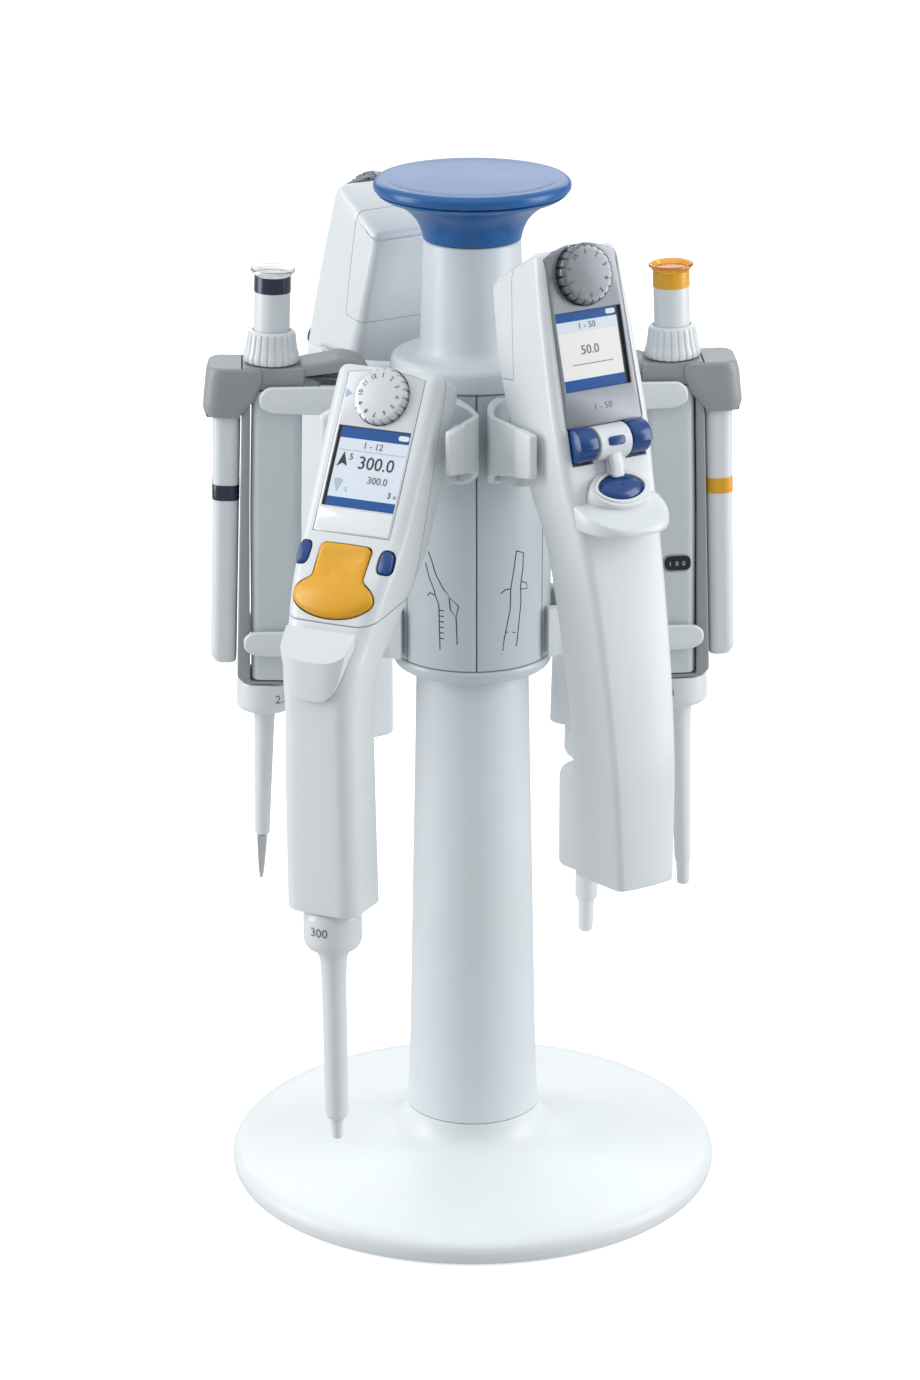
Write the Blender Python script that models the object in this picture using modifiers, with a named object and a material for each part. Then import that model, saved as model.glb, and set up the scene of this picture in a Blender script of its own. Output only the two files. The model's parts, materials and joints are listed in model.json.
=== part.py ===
"""Bench carousel with six laboratory pipettes.

A column on a round base carries a turning hub.  Six holders on the hub hold two
manual pipettes, two electronic pipettes and two electronic dispensers.  Each
device is modelled in the upright plane of its station: x runs outward from the
column, y runs anticlockwise and z is up.  All sizes are in millimetres and the
helpers turn them into metres.
"""
import bpy
import bmesh
from math import copysign, cos, pi, radians, sin
from mathutils import Matrix, Vector

MM = 0.001
GAP = 0.35

# Stand
BASE_RADIUS = 100.0
BASE_EDGE_HEIGHT = 9.7
COLUMN_FOOT_HEIGHT = 28.0
COLUMN_TOP_RADIUS = 22.5
COLUMN_TOP_HEIGHT = 219.0
SPINDLE_RADIUS = 14.0
SPINDLE_TOP = 330.0

# Carousel
HUB_RADIUS = 31.2
HUB_FLANGE_RADIUS = 31.8
HUB_BOTTOM = 219.6
PANEL_BOTTOM = 225.4
PANEL_TOP = 337.6
PANEL_HALF_ANGLE = 29.5
PANEL_THICKNESS = 2.4
BRIDGE_TOP = 315.0
CAP_RADIUS = 32.3
CAP_TOP = 347.4
NECK_RADIUS = 20.7
NECK_TOP_RADIUS = 19.0
NECK_TOP = 393.0
KNOB_RADIUS = 38.35
KNOB_SEAM = 411.5
KNOB_TOP = 416.6

# Stations, in degrees anticlockwise from +X
STATION_STEP = 60.0
FIRST_STATION = 3.0

# Manual pipette, in its own upright frame with the collar's underside at z = 0
MANUAL_PLACE = (83.6, 0.0, 201.5)
MANUAL_LEAN = 2.0
MANUAL_HALF_WIDTH = 10.6
MANUAL_COLLAR_RADIUS = 11.15
MANUAL_BUTTON_RADIUS = 7.0
MANUAL_TOP = 180.4

# Electronic pipette
FACE_LEAN = 29.5
FACE_POINT = (85.0, 320.0)
ROCKER_LEAN = 35.3
PIPETTE_AXIS = 118.0
PIPETTE_BOTTOM = 157.0
PIPETTE_COLLAR_RADIUS = 11.25
PIPETTE_DIAL_RADIUS = 11.0
EJECT_TRAVEL = 6.0
FIRST_PIPETTE_SWAY = 0.62
SECOND_PIPETTE_SWAY = 1.0

# Electronic dispenser
DISPENSER_LEAN = 15.8
DISPENSER_POINT = (83.3, 365.0)
DISPENSER_DIAL_RADIUS = 11.6
HOOD_TRAVEL = 4.7
HOOD_SLOPE = 24.0

COLOURS = {
    "white_plastic": ((0.80, 0.82, 0.83), 0.35, 0.0),
    "grey_white_plastic": ((0.60, 0.64, 0.66), 0.4, 0.0),
    "grey_plastic": ((0.31, 0.32, 0.33), 0.4, 0.0),
    "panel_grey": ((0.27, 0.28, 0.31), 0.35, 0.3),
    "silver_plastic": ((0.62, 0.63, 0.66), 0.3, 0.4),
    "blue_plastic": ((0.012, 0.08, 0.34), 0.25, 0.0),
    "orange_plastic": ((0.80, 0.38, 0.03), 0.35, 0.0),
    "clear_cap": ((0.70, 0.72, 0.72), 0.1, 0.0),
    "steel": ((0.55, 0.56, 0.57), 0.25, 1.0),
    "bearing_plastic": ((0.08, 0.08, 0.09), 0.5, 0.0),
}

# Side outlines lie in the upright plane of a station, plan outlines in the level plane.
SIDE = Matrix(((1, 0, 0, 0), (0, 0, -1, 0), (0, 1, 0, 0), (0, 0, 0, 1)))
PLAN = Matrix.Identity(4)


# ---------------------------------------------------------------- scene helpers

def clear_scene():
    for obj in list(bpy.data.objects):
        bpy.data.objects.remove(obj)


def make_material(name):
    colour, roughness, metallic = COLOURS[name]
    material = bpy.data.materials.new(name)
    material.use_nodes = True
    shader = material.node_tree.nodes["Principled BSDF"]
    shader.inputs["Base Color"].default_value = (*colour, 1.0)
    shader.inputs["Roughness"].default_value = roughness
    shader.inputs["Metallic"].default_value = metallic
    material.diffuse_color = (*colour, 1.0)
    return material


def close_mesh(mesh):
    """Weld a mesh and turn its faces outward."""
    bm = bmesh.new()
    bm.from_mesh(mesh)
    bmesh.ops.remove_doubles(bm, verts=bm.verts, dist=0.000002)
    bmesh.ops.dissolve_degenerate(bm, edges=bm.edges, dist=0.000002)
    bmesh.ops.recalc_face_normals(bm, faces=bm.faces)
    bm.to_mesh(mesh)
    bm.free()


def bake(obj):
    """Replace an object's mesh by its evaluated one."""
    bpy.context.view_layer.update()
    depsgraph = bpy.context.evaluated_depsgraph_get()
    mesh = bpy.data.meshes.new_from_object(obj.evaluated_get(depsgraph))
    close_mesh(mesh)
    obj.modifiers.clear()
    obj.data = mesh
    return obj


def solid_from(data, matrix=None):
    """A closed mesh object made from mesh or curve data."""
    source = bpy.data.objects.new("solid", data)
    bpy.context.scene.collection.objects.link(source)
    bpy.context.view_layer.update()
    depsgraph = bpy.context.evaluated_depsgraph_get()
    mesh = bpy.data.meshes.new_from_object(source.evaluated_get(depsgraph))
    bpy.data.objects.remove(source)
    if matrix is not None:
        mesh.transform(matrix)
    close_mesh(mesh)
    solid = bpy.data.objects.new("solid", mesh)
    bpy.context.scene.collection.objects.link(solid)
    return solid


def combine(target, tool, operation):
    """Apply one Boolean and drop its tool."""
    modifier = target.modifiers.new(operation.lower(), "BOOLEAN")
    modifier.operation = operation
    modifier.solver = "EXACT"
    modifier.object = tool
    bake(target)
    bpy.data.objects.remove(tool)
    return target


def cut(target, *tools):
    for tool in tools:
        combine(target, tool, "DIFFERENCE")
    return target


def join(target, *tools):
    for tool in tools:
        combine(target, tool, "UNION")
    return target


def keep(target, tool):
    return combine(target, tool, "INTERSECT")


def shifted(obj, x=0.0, y=0.0, z=0.0):
    obj.data.transform(Matrix.Translation(Vector((x, y, z)) * MM))
    return obj


# ---------------------------------------------------------------- shape helpers

def prism(outline, low, high, matrix=SIDE):
    """A flat outline given thickness from low to high along its normal."""
    curve = bpy.data.curves.new("outline", "CURVE")
    curve.dimensions = "2D"
    curve.fill_mode = "BOTH"
    curve.extrude = (high - low) / 2 * MM
    spline = curve.splines.new("POLY")
    spline.points.add(len(outline) - 1)
    for point, (x, y) in zip(spline.points, outline):
        point.co = (x * MM, y * MM, 0.0, 1.0)
    spline.use_cyclic_u = True
    middle = Matrix.Translation((0, 0, (low + high) / 2 * MM))
    return solid_from(curve, matrix @ middle)


def turned(profile, steps=18, matrix=None):
    """A profile of (radius, height) pairs, top to bottom, turned about z."""
    mesh = bpy.data.meshes.new("profile")
    points = [(radius * MM, 0.0, height * MM) for radius, height in profile]
    edges = [(index, index + 1) for index in range(len(points) - 1)]
    mesh.from_pydata(points, edges, [])
    source = bpy.data.objects.new("turned", mesh)
    bpy.context.scene.collection.objects.link(source)
    screw = source.modifiers.new("screw", "SCREW")
    screw.steps = steps
    screw.render_steps = steps
    screw.use_merge_vertices = True
    screw.merge_threshold = 0.00001
    bake(source)
    if matrix is not None:
        source.data.transform(matrix)
        close_mesh(source.data)
    return source


def tube(profile, bore, steps=18):
    """A turned profile with a straight bore through it."""
    top, bottom = profile[0][1], profile[-1][1]
    return turned([(bore, top), *profile, (bore, bottom), (bore, top)], steps)


def loft(sections):
    """A closed skin over sections that all have the same number of points."""
    bm = bmesh.new()
    rings = [[bm.verts.new(point * MM) for point in section] for section in sections]
    count = len(sections[0])
    for lower, upper in zip(rings, rings[1:]):
        for index in range(count):
            after = (index + 1) % count
            bm.faces.new((lower[index], lower[after], upper[after], upper[index]))
    bm.faces.new(list(reversed(rings[0])))
    bm.faces.new(rings[-1])
    mesh = bpy.data.meshes.new("loft")
    bm.to_mesh(mesh)
    bm.free()
    close_mesh(mesh)
    solid = bpy.data.objects.new("loft", mesh)
    bpy.context.scene.collection.objects.link(solid)
    return solid


def rounded(half_depth, half_width, squareness, count):
    """A closed outline between an ellipse (squareness 2) and a rectangle."""
    points = []
    for index in range(count):
        angle = 2 * pi * (index + 0.5) / count
        x = copysign(abs(cos(angle)) ** (2 / squareness), cos(angle))
        y = copysign(abs(sin(angle)) ** (2 / squareness), sin(angle))
        points.append((x * half_depth, y * half_width))
    return points


def body_section(front_x, front_z, depth, width, lean, squareness=3.2, grow=0.0, count=18):
    """A body's cross-section, hung on its front point and square to the front."""
    normal = Vector((cos(radians(lean)), 0, sin(radians(lean))))
    centre = Vector((front_x, 0, front_z)) - normal * depth / 2
    outline = rounded(depth / 2 + grow, width / 2 + grow, squareness, count)
    return [centre + normal * x + Vector((0, y, 0)) for x, y in outline]


def face_frame(point, lean):
    """Turns (across, up the face, out of the face) into the station's plane."""
    tilt = radians(lean)
    return Matrix((
        (0, -sin(tilt), cos(tilt), point[0] * MM),
        (1, 0, 0, 0),
        (0, cos(tilt), sin(tilt), point[1] * MM),
        (0, 0, 0, 1),
    ))


def pill(half_width, half_height, centre_x, centre_y, count=16, squareness=2.6):
    return [(centre_x + x, centre_y + y)
            for x, y in rounded(half_width, half_height, squareness, count)]


def disc(radius, low, high, frame, centre, steps=24, chamfer=0.6):
    """A knob or its pocket, standing on a face."""
    profile = [(0, high), (radius - chamfer, high), (radius, high - chamfer),
               (radius, low), (0, low)]
    place = frame @ Matrix.Translation((centre[0] * MM, centre[1] * MM, 0))
    return turned(profile, steps, place)


def on_face(frame, across, up, out=0.0):
    """A point on a device's face, in the station's frame, in millimetres."""
    return (frame @ Vector((across * MM, up * MM, out * MM))) / MM


# ---------------------------------------------------------------- stand and carousel

def base_plate():
    edge, foot = BASE_RADIUS, COLUMN_FOOT_HEIGHT - GAP
    profile = [(0, foot), (27.3, foot), (28.0, 24.0), (30.5, 19.0), (35.5, 15.6),
               (44.0, 14.0), (edge - 4.0, BASE_EDGE_HEIGHT), (edge - 1.2, 8.4),
               (edge, 5.6), (edge - 0.4, 2.0), (edge - 2.0, 0), (0, 0)]
    return turned(profile, 36)


def column():
    shoulder = COLUMN_TOP_HEIGHT
    profile = [(0, SPINDLE_TOP), (SPINDLE_RADIUS, SPINDLE_TOP), (SPINDLE_RADIUS, shoulder),
               (COLUMN_TOP_RADIUS, shoulder), (24.2, 135.0), (25.8, 57.0),
               (27.3, COLUMN_FOOT_HEIGHT), (0, COLUMN_FOOT_HEIGHT)]
    return turned(profile, 32)


def bearing():
    return tube([(21.2, 238.0), (21.2, 224.0)], SPINDLE_RADIUS + GAP, 20)


def hub_core():
    panel_seat = HUB_RADIUS - PANEL_THICKNESS - GAP
    profile = [(panel_seat, PANEL_TOP - GAP), (panel_seat, PANEL_BOTTOM - GAP),
               (HUB_FLANGE_RADIUS - 0.5, PANEL_BOTTOM - GAP),
               (HUB_FLANGE_RADIUS, PANEL_BOTTOM - 1.2), (HUB_FLANGE_RADIUS - 0.4, 221.0),
               (HUB_FLANGE_RADIUS - 2.0, HUB_BOTTOM)]
    return tube(profile, 21.6, 32)


def neck():
    seat = PANEL_TOP + GAP
    profile = [(0, NECK_TOP - GAP), (NECK_TOP_RADIUS, NECK_TOP - GAP),
               (NECK_RADIUS, CAP_TOP + 1.5), (NECK_RADIUS + 1.6, CAP_TOP),
               (CAP_RADIUS - 2.6, CAP_TOP), (CAP_RADIUS - 0.5, CAP_TOP - 1.4),
               (CAP_RADIUS, CAP_TOP - 3.6), (CAP_RADIUS, seat), (0, seat)]
    return turned(profile, 32)


def knob_skirt():
    profile = [(0, KNOB_SEAM), (36.6, KNOB_SEAM), (37.0, KNOB_SEAM - 0.9),
               (31.5, KNOB_SEAM - 3.4), (25.6, KNOB_SEAM - 7.0), (21.6, KNOB_SEAM - 11.5),
               (19.7, KNOB_SEAM - 16.0), (NECK_TOP_RADIUS, NECK_TOP), (0, NECK_TOP)]
    return turned(profile, 32)


def knob_plate():
    seam = KNOB_SEAM + GAP
    profile = [(0, KNOB_TOP - 0.4), (30.0, KNOB_TOP - 0.4), (34.4, KNOB_TOP),
               (36.8, KNOB_TOP - 0.7), (KNOB_RADIUS, KNOB_TOP - 2.4), (37.9, seam), (0, seam)]
    return turned(profile, 36)


def panel():
    """One sixth of the hub's outer wall."""
    sections = []
    steps = 10
    inner = HUB_RADIUS - PANEL_THICKNESS
    for step in range(steps + 1):
        angle = radians(PANEL_HALF_ANGLE * (2 * step / steps - 1))
        out = Vector((cos(angle), sin(angle), 0))
        sections.append([out * radius + Vector((0, 0, height)) for radius, height in
                         ((inner, PANEL_BOTTOM), (HUB_RADIUS, PANEL_BOTTOM),
                          (HUB_RADIUS, PANEL_TOP), (inner, PANEL_TOP))])
    return loft(sections)


def mirrored(shape, low, high, outline):
    """The same outline at both sides of the station's plane."""
    return join(shape, prism(outline, low, high), prism(outline, -high, -low))


def manual_holder():
    """Panel with two forks: the pipette stands between their prongs."""
    inner, outer, root = 12.0, 14.8, 27.0
    holder = panel()
    upper = [(root, 326.5), (60.0, 326.5), (80.0, 327.5), (82.6, 329.5), (83.4, 333.0),
             (82.0, 336.6), (79.5, PANEL_TOP), (root, PANEL_TOP)]
    lower = [(root, 226.5), (60.0, 226.5), (88.5, 227.8), (91.0, 230.0), (91.4, 234.0),
             (90.0, 237.6), (66.0, 237.6), (57.0, 246.0), (root, 246.0)]
    mirrored(holder, inner, outer, upper)
    mirrored(holder, inner, outer, lower)
    bar = inner + 0.5
    join(holder, prism([(46, 327), (60, 327), (60, 337), (46, 337)], -bar, bar))
    join(holder, prism([(56, 228), (62, 228), (62, 240), (56, 240)], -bar, bar))
    return holder


def cheek_sections(side, tip, spread):
    """Plan path of a cradle's cheek: x, y, thickness, lower and upper height."""
    path = ((30.2, 6.5, 5.0, 304.0, 337.0), (36.5, 14.0 + spread / 4, 3.6, 305.0, 337.0),
            (44.5 - spread, 20.6 + spread / 2, 2.6, 309.0, 336.8),
            (52.5 - 2 * spread, 24.0 + spread, 2.4, 314.0, 336.6),
            (tip - 9.0, 24.4 + spread, 2.4, 317.5, 336.4),
            (tip - 8.0, 25.0 + spread, 3.6, 317.5, 336.6),
            (tip, 25.0 + spread, 3.8, 319.0, 336.2))
    sections = []
    for index, (x, y, thickness, low, high) in enumerate(path):
        before, after = path[max(index - 1, 0)], path[min(index + 1, len(path) - 1)]
        along = Vector((after[0] - before[0], after[1] - before[1], 0)).normalized()
        across = Vector((-along.y, along.x, 0)) * thickness / 2
        flip = Matrix.Diagonal((1, side, 1))
        centre = Vector((x, y, 0))
        sections.append([flip @ (centre + across * sign + Vector((0, 0, height)))
                         for sign, height in ((-1, low), (1, low), (1, high), (-1, high))])
    return sections


def device_cradle(tip, spread):
    """Panel with two cheeks, and a bridge that the device's hook hangs on."""
    cradle = panel()
    join(cradle, loft(cheek_sections(1, tip, spread)), loft(cheek_sections(-1, tip, spread)))
    root = 27.2
    bridge = [(root, 13.2), (48.5, 13.2), (50.5, 11.2), (50.5, -11.2), (48.5, -13.2),
              (root, -13.2), (root, -11), (44.6, -11), (44.6, 11), (root, 11)]
    join(cradle, prism(bridge, BRIDGE_TOP - 9.0, BRIDGE_TOP, PLAN))
    return cradle


# ---------------------------------------------------------------- manual pipette

def manual_section(height, inner, outer, half_width, squareness, count=20):
    middle = (inner + outer) / 2
    outline = rounded((outer - inner) / 2, half_width, squareness, count)
    return [Vector((middle + x, y, height)) for x, y in outline]


def manual_handle():
    width = MANUAL_HALF_WIDTH
    rows = ((14.7, -12.6, 5.6), (45.0, -14.0, 6.3), (88.0, -12.9, 7.2), (133.4, -12.3, 7.4))
    return loft([manual_section(z, inner, outer, width, 3.6) for z, inner, outer in rows])


def manual_frame():
    """Top plate with the finger rest, spine and foot plate, in one piece."""
    half = MANUAL_HALF_WIDTH - 0.1
    spine = [(-11.5, 12.9), (8.0, 12.9), (11.2, 16.0), (11.2, 142.8), (-13.0, 142.8),
             (-13.0, 133.9), (7.9, 133.9), (7.5, 88.0), (6.7, 45.0), (6.0, 14.3),
             (-11.5, 14.3)]
    hook = [(-12.0, 142.8), (-12.0, 137.2), (-29.5, 140.4), (-34.2, 138.0), (-35.9, 132.0),
            (-37.6, 130.6), (-39.3, 131.8), (-39.0, 138.8), (-34.8, 145.2), (-27.0, 147.2),
            (-18.0, 144.4)]
    frame = prism(spine, -half, half)
    join(frame, prism(hook, -9.5, 9.5))
    bore = MANUAL_BUTTON_RADIUS + GAP
    return cut(frame, turned([(0, 150), (bore, 150), (bore, 133.0), (0, 133.0)], 24))


def manual_lower_part(shaft):
    collar = MANUAL_COLLAR_RADIUS
    profile = [(0, 12.5), (collar, 12.5), (collar, 1.2), (collar - 1.2, 0)] + shaft
    profile.append((0, shaft[-1][1]))
    return turned(profile, 20)


def manual_button():
    radius = MANUAL_BUTTON_RADIUS
    profile = [(0, 177.8), (7.4, 178.2), (8.3, MANUAL_TOP), (8.6, 179.6), (8.5, 178.2),
               (7.4, 176.8), (radius, 176.0), (radius, 148.5), (0, 148.5)]
    return turned(profile, 20)


def manual_adjust_ring():
    bore = MANUAL_BUTTON_RADIUS + GAP
    profile = [(8.2, 155.8), (9.4, 154.6), (9.9, 150.0), (11.1, 145.8), (10.6, 143.2)]
    return tube(profile, bore, 20)


def manual_ejector_cap():
    """Thumb cap that wraps the outer half of the top, clear of the handle."""
    rows = ((122.8, 17.0, 8.6, 11.3), (126.0, 19.0, 7.2, 12.0), (131.0, 22.2, 3.6, 12.4),
            (139.5, 24.2, 1.0, 12.4), (142.4, 22.6, 1.4, 11.8))
    sections = [manual_section(z, inner, inner + depth, half, 3.4, 24)
                for z, depth, inner, half in rows]
    cap = loft(sections)
    core = MANUAL_HALF_WIDTH + GAP
    clearance = [(-20, 110), (11.6, 110), (11.6, 150), (-20, 150)]
    return cut(cap, prism(clearance, -core, core))


def manual_ejector_sleeve():
    rows = ((20.8, 11.8, 20.4, 7.2), (24.0, 11.6, 21.8, 8.4), (88.0, 11.6, 22.1, 8.8),
            (122.4, 11.6, 22.6, 9.0))
    return loft([manual_section(z, inner, outer, half, 3.0) for z, inner, outer, half in rows])


STEEL_NOSE_SHAFT = [(5.2, 0), (4.3, -2.4), (4.0, -6.0), (3.4, -35.0), (3.0, -54.4)]
LONG_SHAFT = [(5.8, 0), (4.7, -3.0), (4.4, -9.0), (3.6, -50.0), (3.3, -69.0),
              (2.7, -70.5), (2.5, -79.8)]


def manual_pipette(shaft, button_material, steel_nose):
    button_pivot = (0, 0, MANUAL_TOP)
    pieces = {
        "handle": (manual_handle(), "white_plastic", (0, 0, 0)),
        "frame": (manual_frame(), "grey_plastic", (0, 0, 0)),
        "lower_part": (manual_lower_part(shaft), "white_plastic", (0, 0, 0)),
        "control_button": (manual_button(), button_material, button_pivot),
        "adjust_ring": (manual_adjust_ring(), "white_plastic", (0, 0, 150.0)),
        "ejector_cap": (manual_ejector_cap(), "grey_plastic", (17.0, 0, 140.0)),
        "ejector_sleeve": (manual_ejector_sleeve(), "white_plastic", (17.0, 0, 120.0)),
    }
    if steel_nose:
        top = shaft[-1][1] - GAP
        nose = turned([(0, top), (2.05, top), (2.05, top - 2.0), (1.5, top - 10.0),
                       (0.6, -73.6), (0, -73.6)], 16)
        pieces["nose_cone"] = (nose, "steel", (0, 0, 0))
    return pieces


# ---------------------------------------------------------------- shared hook

def device_hook(root_x):
    """Finger rest at a device's back, hooked over the bridge of its cradle."""
    low = BRIDGE_TOP + GAP
    outline = [(root_x, low + 9.0), (root_x, low + 1.0), (root_x - 4.0, low), (44.3, low),
               (44.1, low - 1.5), (43.8, low - 7.6), (41.8, low - 9.0), (39.8, low - 7.0),
               (39.7, low + 0.5), (41.8, low + 4.4), (46.0, low + 6.0), (root_x - 4.0, low + 6.6)]
    return prism(outline, -8.5, 8.5)


# ---------------------------------------------------------------- electronic pipette

# Front point (x, z), depth, width, lean and squareness of each section, bottom to top.
PIPETTE_BODY = (
    (129.5, PIPETTE_BOTTOM, 25.6, 29.6, 0, 3.8), (129.5, 158.0, 26.0, 30.0, 0, 3.8),
    (129.5, 205.0, 25.2, 29.8, 0, 3.8), (129.5, 232.0, 25.0, 30.0, 0, 3.8),
    (129.3, 246.0, 26.6, 31.2, 2, 3.6), (128.0, 254.0, 27.8, 33.0, 5, 3.4),
    (122.8, 263.0, 27.0, 34.8, 14, 3.6), (117.6, 271.5, 26.8, 37.0, 26, 4.4),
    (110.5, 284.0, 26.5, 40.4, 32, 5), (101.0, 295.5, 27.0, 43.0, 32, 6),
    (92.2, 307.6, 27.4, 44.2, FACE_LEAN, 6), (77.0, 334.0, 24.6, 45.0, FACE_LEAN, 6),
    (69.2, 349.6, 22.6, 45.2, 31, 5.6), (65.6, 357.2, 22.4, 44.4, 37, 5),
    (63.2, 359.8, 18.4, 40.0, 40, 4))
# The split between the front and rear shells, from the front to the head's top.
SHELL_SPLIT = ((145.0, 265.4), (88.7, 275.8), (62.3, 349.4), (56.0, 367.0))


def pipette_body(grow=0.0):
    return loft([body_section(*row, grow=grow) for row in PIPETTE_BODY])


def split_tool(offset):
    """Everything in front of the shell split, moved down and back by offset."""
    line = [(x - offset, z - offset) for x, z in SHELL_SPLIT]
    return prism(line + [(145.0, 380.0)], -40, 40)


def rocker_frame():
    """The rocker and keys lie on the face's steeper lower part."""
    return face_frame((108.0, 286.0), ROCKER_LEAN)


def rocker_outline(grow=0.0):
    """A square-shouldered tongue above a wide oval lobe."""
    top, shoulder, lobe_y, waist = 12.7 + grow, 10.9 + grow, -8.3, -1.0
    lobe_x, lobe_h = 17.0 + grow, 8.6 + grow
    points = [(-shoulder + 1.2, top), (shoulder - 1.2, top), (shoulder, top - 1.2),
              (shoulder - 0.2, waist)]
    steps = 14
    for step in range(steps + 1):
        angle = radians(42) - radians(264) * step / steps
        points.append((lobe_x * cos(angle), lobe_y + lobe_h * sin(angle)))
    points += [(-shoulder + 0.2, waist), (-shoulder, top - 1.2)]
    return points


def rocker_pocket():
    return prism(rocker_outline(0.5), -5.0, 9.0, rocker_frame())


def pipette_key(side, grow, low, high):
    return prism(pill(3.1 + grow, 4.7 + grow, side * 17.5, 7.7), low, high, rocker_frame())


def pipette_ejector_button():
    """Curved thumb piece over the handle's front, free to slide down."""
    rows = ((131.6, 243.6, 27.0, 33.2, 2), (131.8, 252.0, 29.0, 35.8, 2),
            (130.6, 259.0, 30.0, 37.0, 4), (128.4, 263.4, 30.0, 37.6, 8),
            (121.6, 272.4, 30.0, 38.6, 20))
    button = loft([body_section(*row) for row in rows])
    cut(button, pipette_body(GAP), shifted(pipette_body(GAP), z=EJECT_TRAVEL))
    front = [(121.5, 240), (140, 240), (140, 265.4), (121.5, 268.8)]
    return keep(button, prism(front, -40, 40))


def electronic_pipette(cone_radius, shaft_radius, cone_tip, cone_step):
    face = face_frame(FACE_POINT, FACE_LEAN)
    dial_centre = (0.0, 29.6)

    front_shell = keep(pipette_body(), split_tool(0.0))
    cut(front_shell, disc(PIPETTE_DIAL_RADIUS + GAP, -2.2, 8.0, face, dial_centre, chamfer=0))
    cut(front_shell, rocker_pocket(), pipette_key(-1, GAP, -4.6, 9.0),
        pipette_key(1, GAP, -4.6, 9.0))

    rear_shell = cut(pipette_body(), split_tool(GAP), rocker_pocket())
    join(rear_shell, device_hook(64.0))
    bore = cone_radius + GAP
    cut(rear_shell, turned([(0, 162), (bore, 162), (bore, 150), (0, 150)], 16,
                           Matrix.Translation((PIPETTE_AXIS * MM, 0, 0))))

    dial = disc(PIPETTE_DIAL_RADIUS, -1.8, 3.4, face, dial_centre)
    rocker = prism(rocker_outline(), -3.2, 1.0, rocker_frame())
    keys = [pipette_key(side, 0.0, -3.6, -0.3) for side in (-1, 1)]

    axis = Matrix.Translation((PIPETTE_AXIS * MM, 0, 0))
    collar, low = PIPETTE_COLLAR_RADIUS, PIPETTE_BOTTOM
    sleeve_profile = [(collar - 1.5, low - GAP), (collar, low - 3.0), (collar, 143.0),
                      (collar - 1.6, 140.4), (6.2, 139.0), (5.0, 133.0),
                      (shaft_radius + 0.2, 124.0), (shaft_radius, cone_step + 1.5),
                      (shaft_radius - 0.8, cone_step)]
    sleeve = tube(sleeve_profile, cone_radius + GAP, 18)
    sleeve.data.transform(axis)
    cone = turned([(0, 161.6), (cone_radius, 161.6), (cone_radius, cone_step - 1.0),
                   (cone_radius - 0.3, cone_tip + 0.6), (cone_radius - 0.7, cone_tip),
                   (0, cone_tip)], 16, axis)

    button_pivot = (125.0, 0, 258.0)
    return {
        "front_shell": (front_shell, "white_plastic", (85.0, 0, 310.0)),
        "rear_shell": (rear_shell, "white_plastic", (PIPETTE_AXIS, 0, PIPETTE_BOTTOM)),
        "dial": (dial, "silver_plastic", on_face(face, *dial_centre)),
        "left_key": (keys[0], "blue_plastic", on_face(rocker_frame(), -17.5, 7.7)),
        "right_key": (keys[1], "blue_plastic", on_face(rocker_frame(), 17.5, 7.7)),
        "rocker": (rocker, "orange_plastic", on_face(rocker_frame(), 0, 0)),
        "ejector_button": (pipette_ejector_button(), "white_plastic", button_pivot),
        "ejector_sleeve": (sleeve, "white_plastic", (PIPETTE_AXIS, 0, 148.0)),
        "nose_cone": (cone, "white_plastic", (PIPETTE_AXIS, 0, 148.0)),
    }


# ---------------------------------------------------------------- electronic dispenser

# The last value of a row is the section's squareness.
DISPENSER_BODY = (
    (123.6, 163.8, 33.6, 24.0, 5, 3.2), (124.4, 165.4, 35.4, 26.4, 5, 3.2),
    (122.0, 205.0, 33.5, 29.0, 1, 3.6), (118.4, 235.0, 32.9, 31.0, 3, 3.8),
    (111.8, 270.0, 33.2, 33.6, 5, 4.0), (104.6, 297.0, 31.4, 37.0, 8, 4.2),
    (97.0, 316.5, 31.0, 40.6, 12, 4.4), (91.0, 338.0, 34.5, 42.6, DISPENSER_LEAN, 4.8),
    (83.3, 365.0, 36.4, 41.2, DISPENSER_LEAN, 5.2), (75.6, 392.4, 35.6, 38.0, 18, 5.2),
    (72.4, 402.8, 34.0, 36.2, 32, 4.8), (70.0, 406.6, 29.6, 32.0, 34, 4))


def dispenser_body(grow=0.0):
    return loft([body_section(*row, grow=grow) for row in DISPENSER_BODY])


def arched_panel(grow=0.0):
    """Front panel outline: straight sides and a shallow arched top."""
    half_top, half_low, low, shoulder, crown = 15.6 + grow, 17.0 + grow, -26.6 - grow, 37.0, 41.4
    points = [(half_low, low), (half_top, shoulder)]
    steps = 6
    for step in range(1, steps):
        across = 1 - 2 * step / steps
        points.append((half_top * across, shoulder + (crown - shoulder) * (1 - across ** 2)))
    points += [(-half_top, shoulder), (-half_low, low)]
    return points


def barrel(radius, low, high, face, up=-33.4, out=0.4, steps=18):
    """A level cylinder across the face."""
    place = face @ Matrix.Translation((0, up * MM, out * MM)) @ Matrix.Rotation(pi / 2, 4, "Y")
    return turned([(0, high), (radius, high), (radius, low), (0, low)], steps, place)


def hood_moved(solid, travel):
    """A solid moved by some of the hood's travel, down and outward."""
    slope = radians(HOOD_SLOPE)
    return shifted(solid, x=travel * sin(slope), z=-travel * cos(slope))


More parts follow.
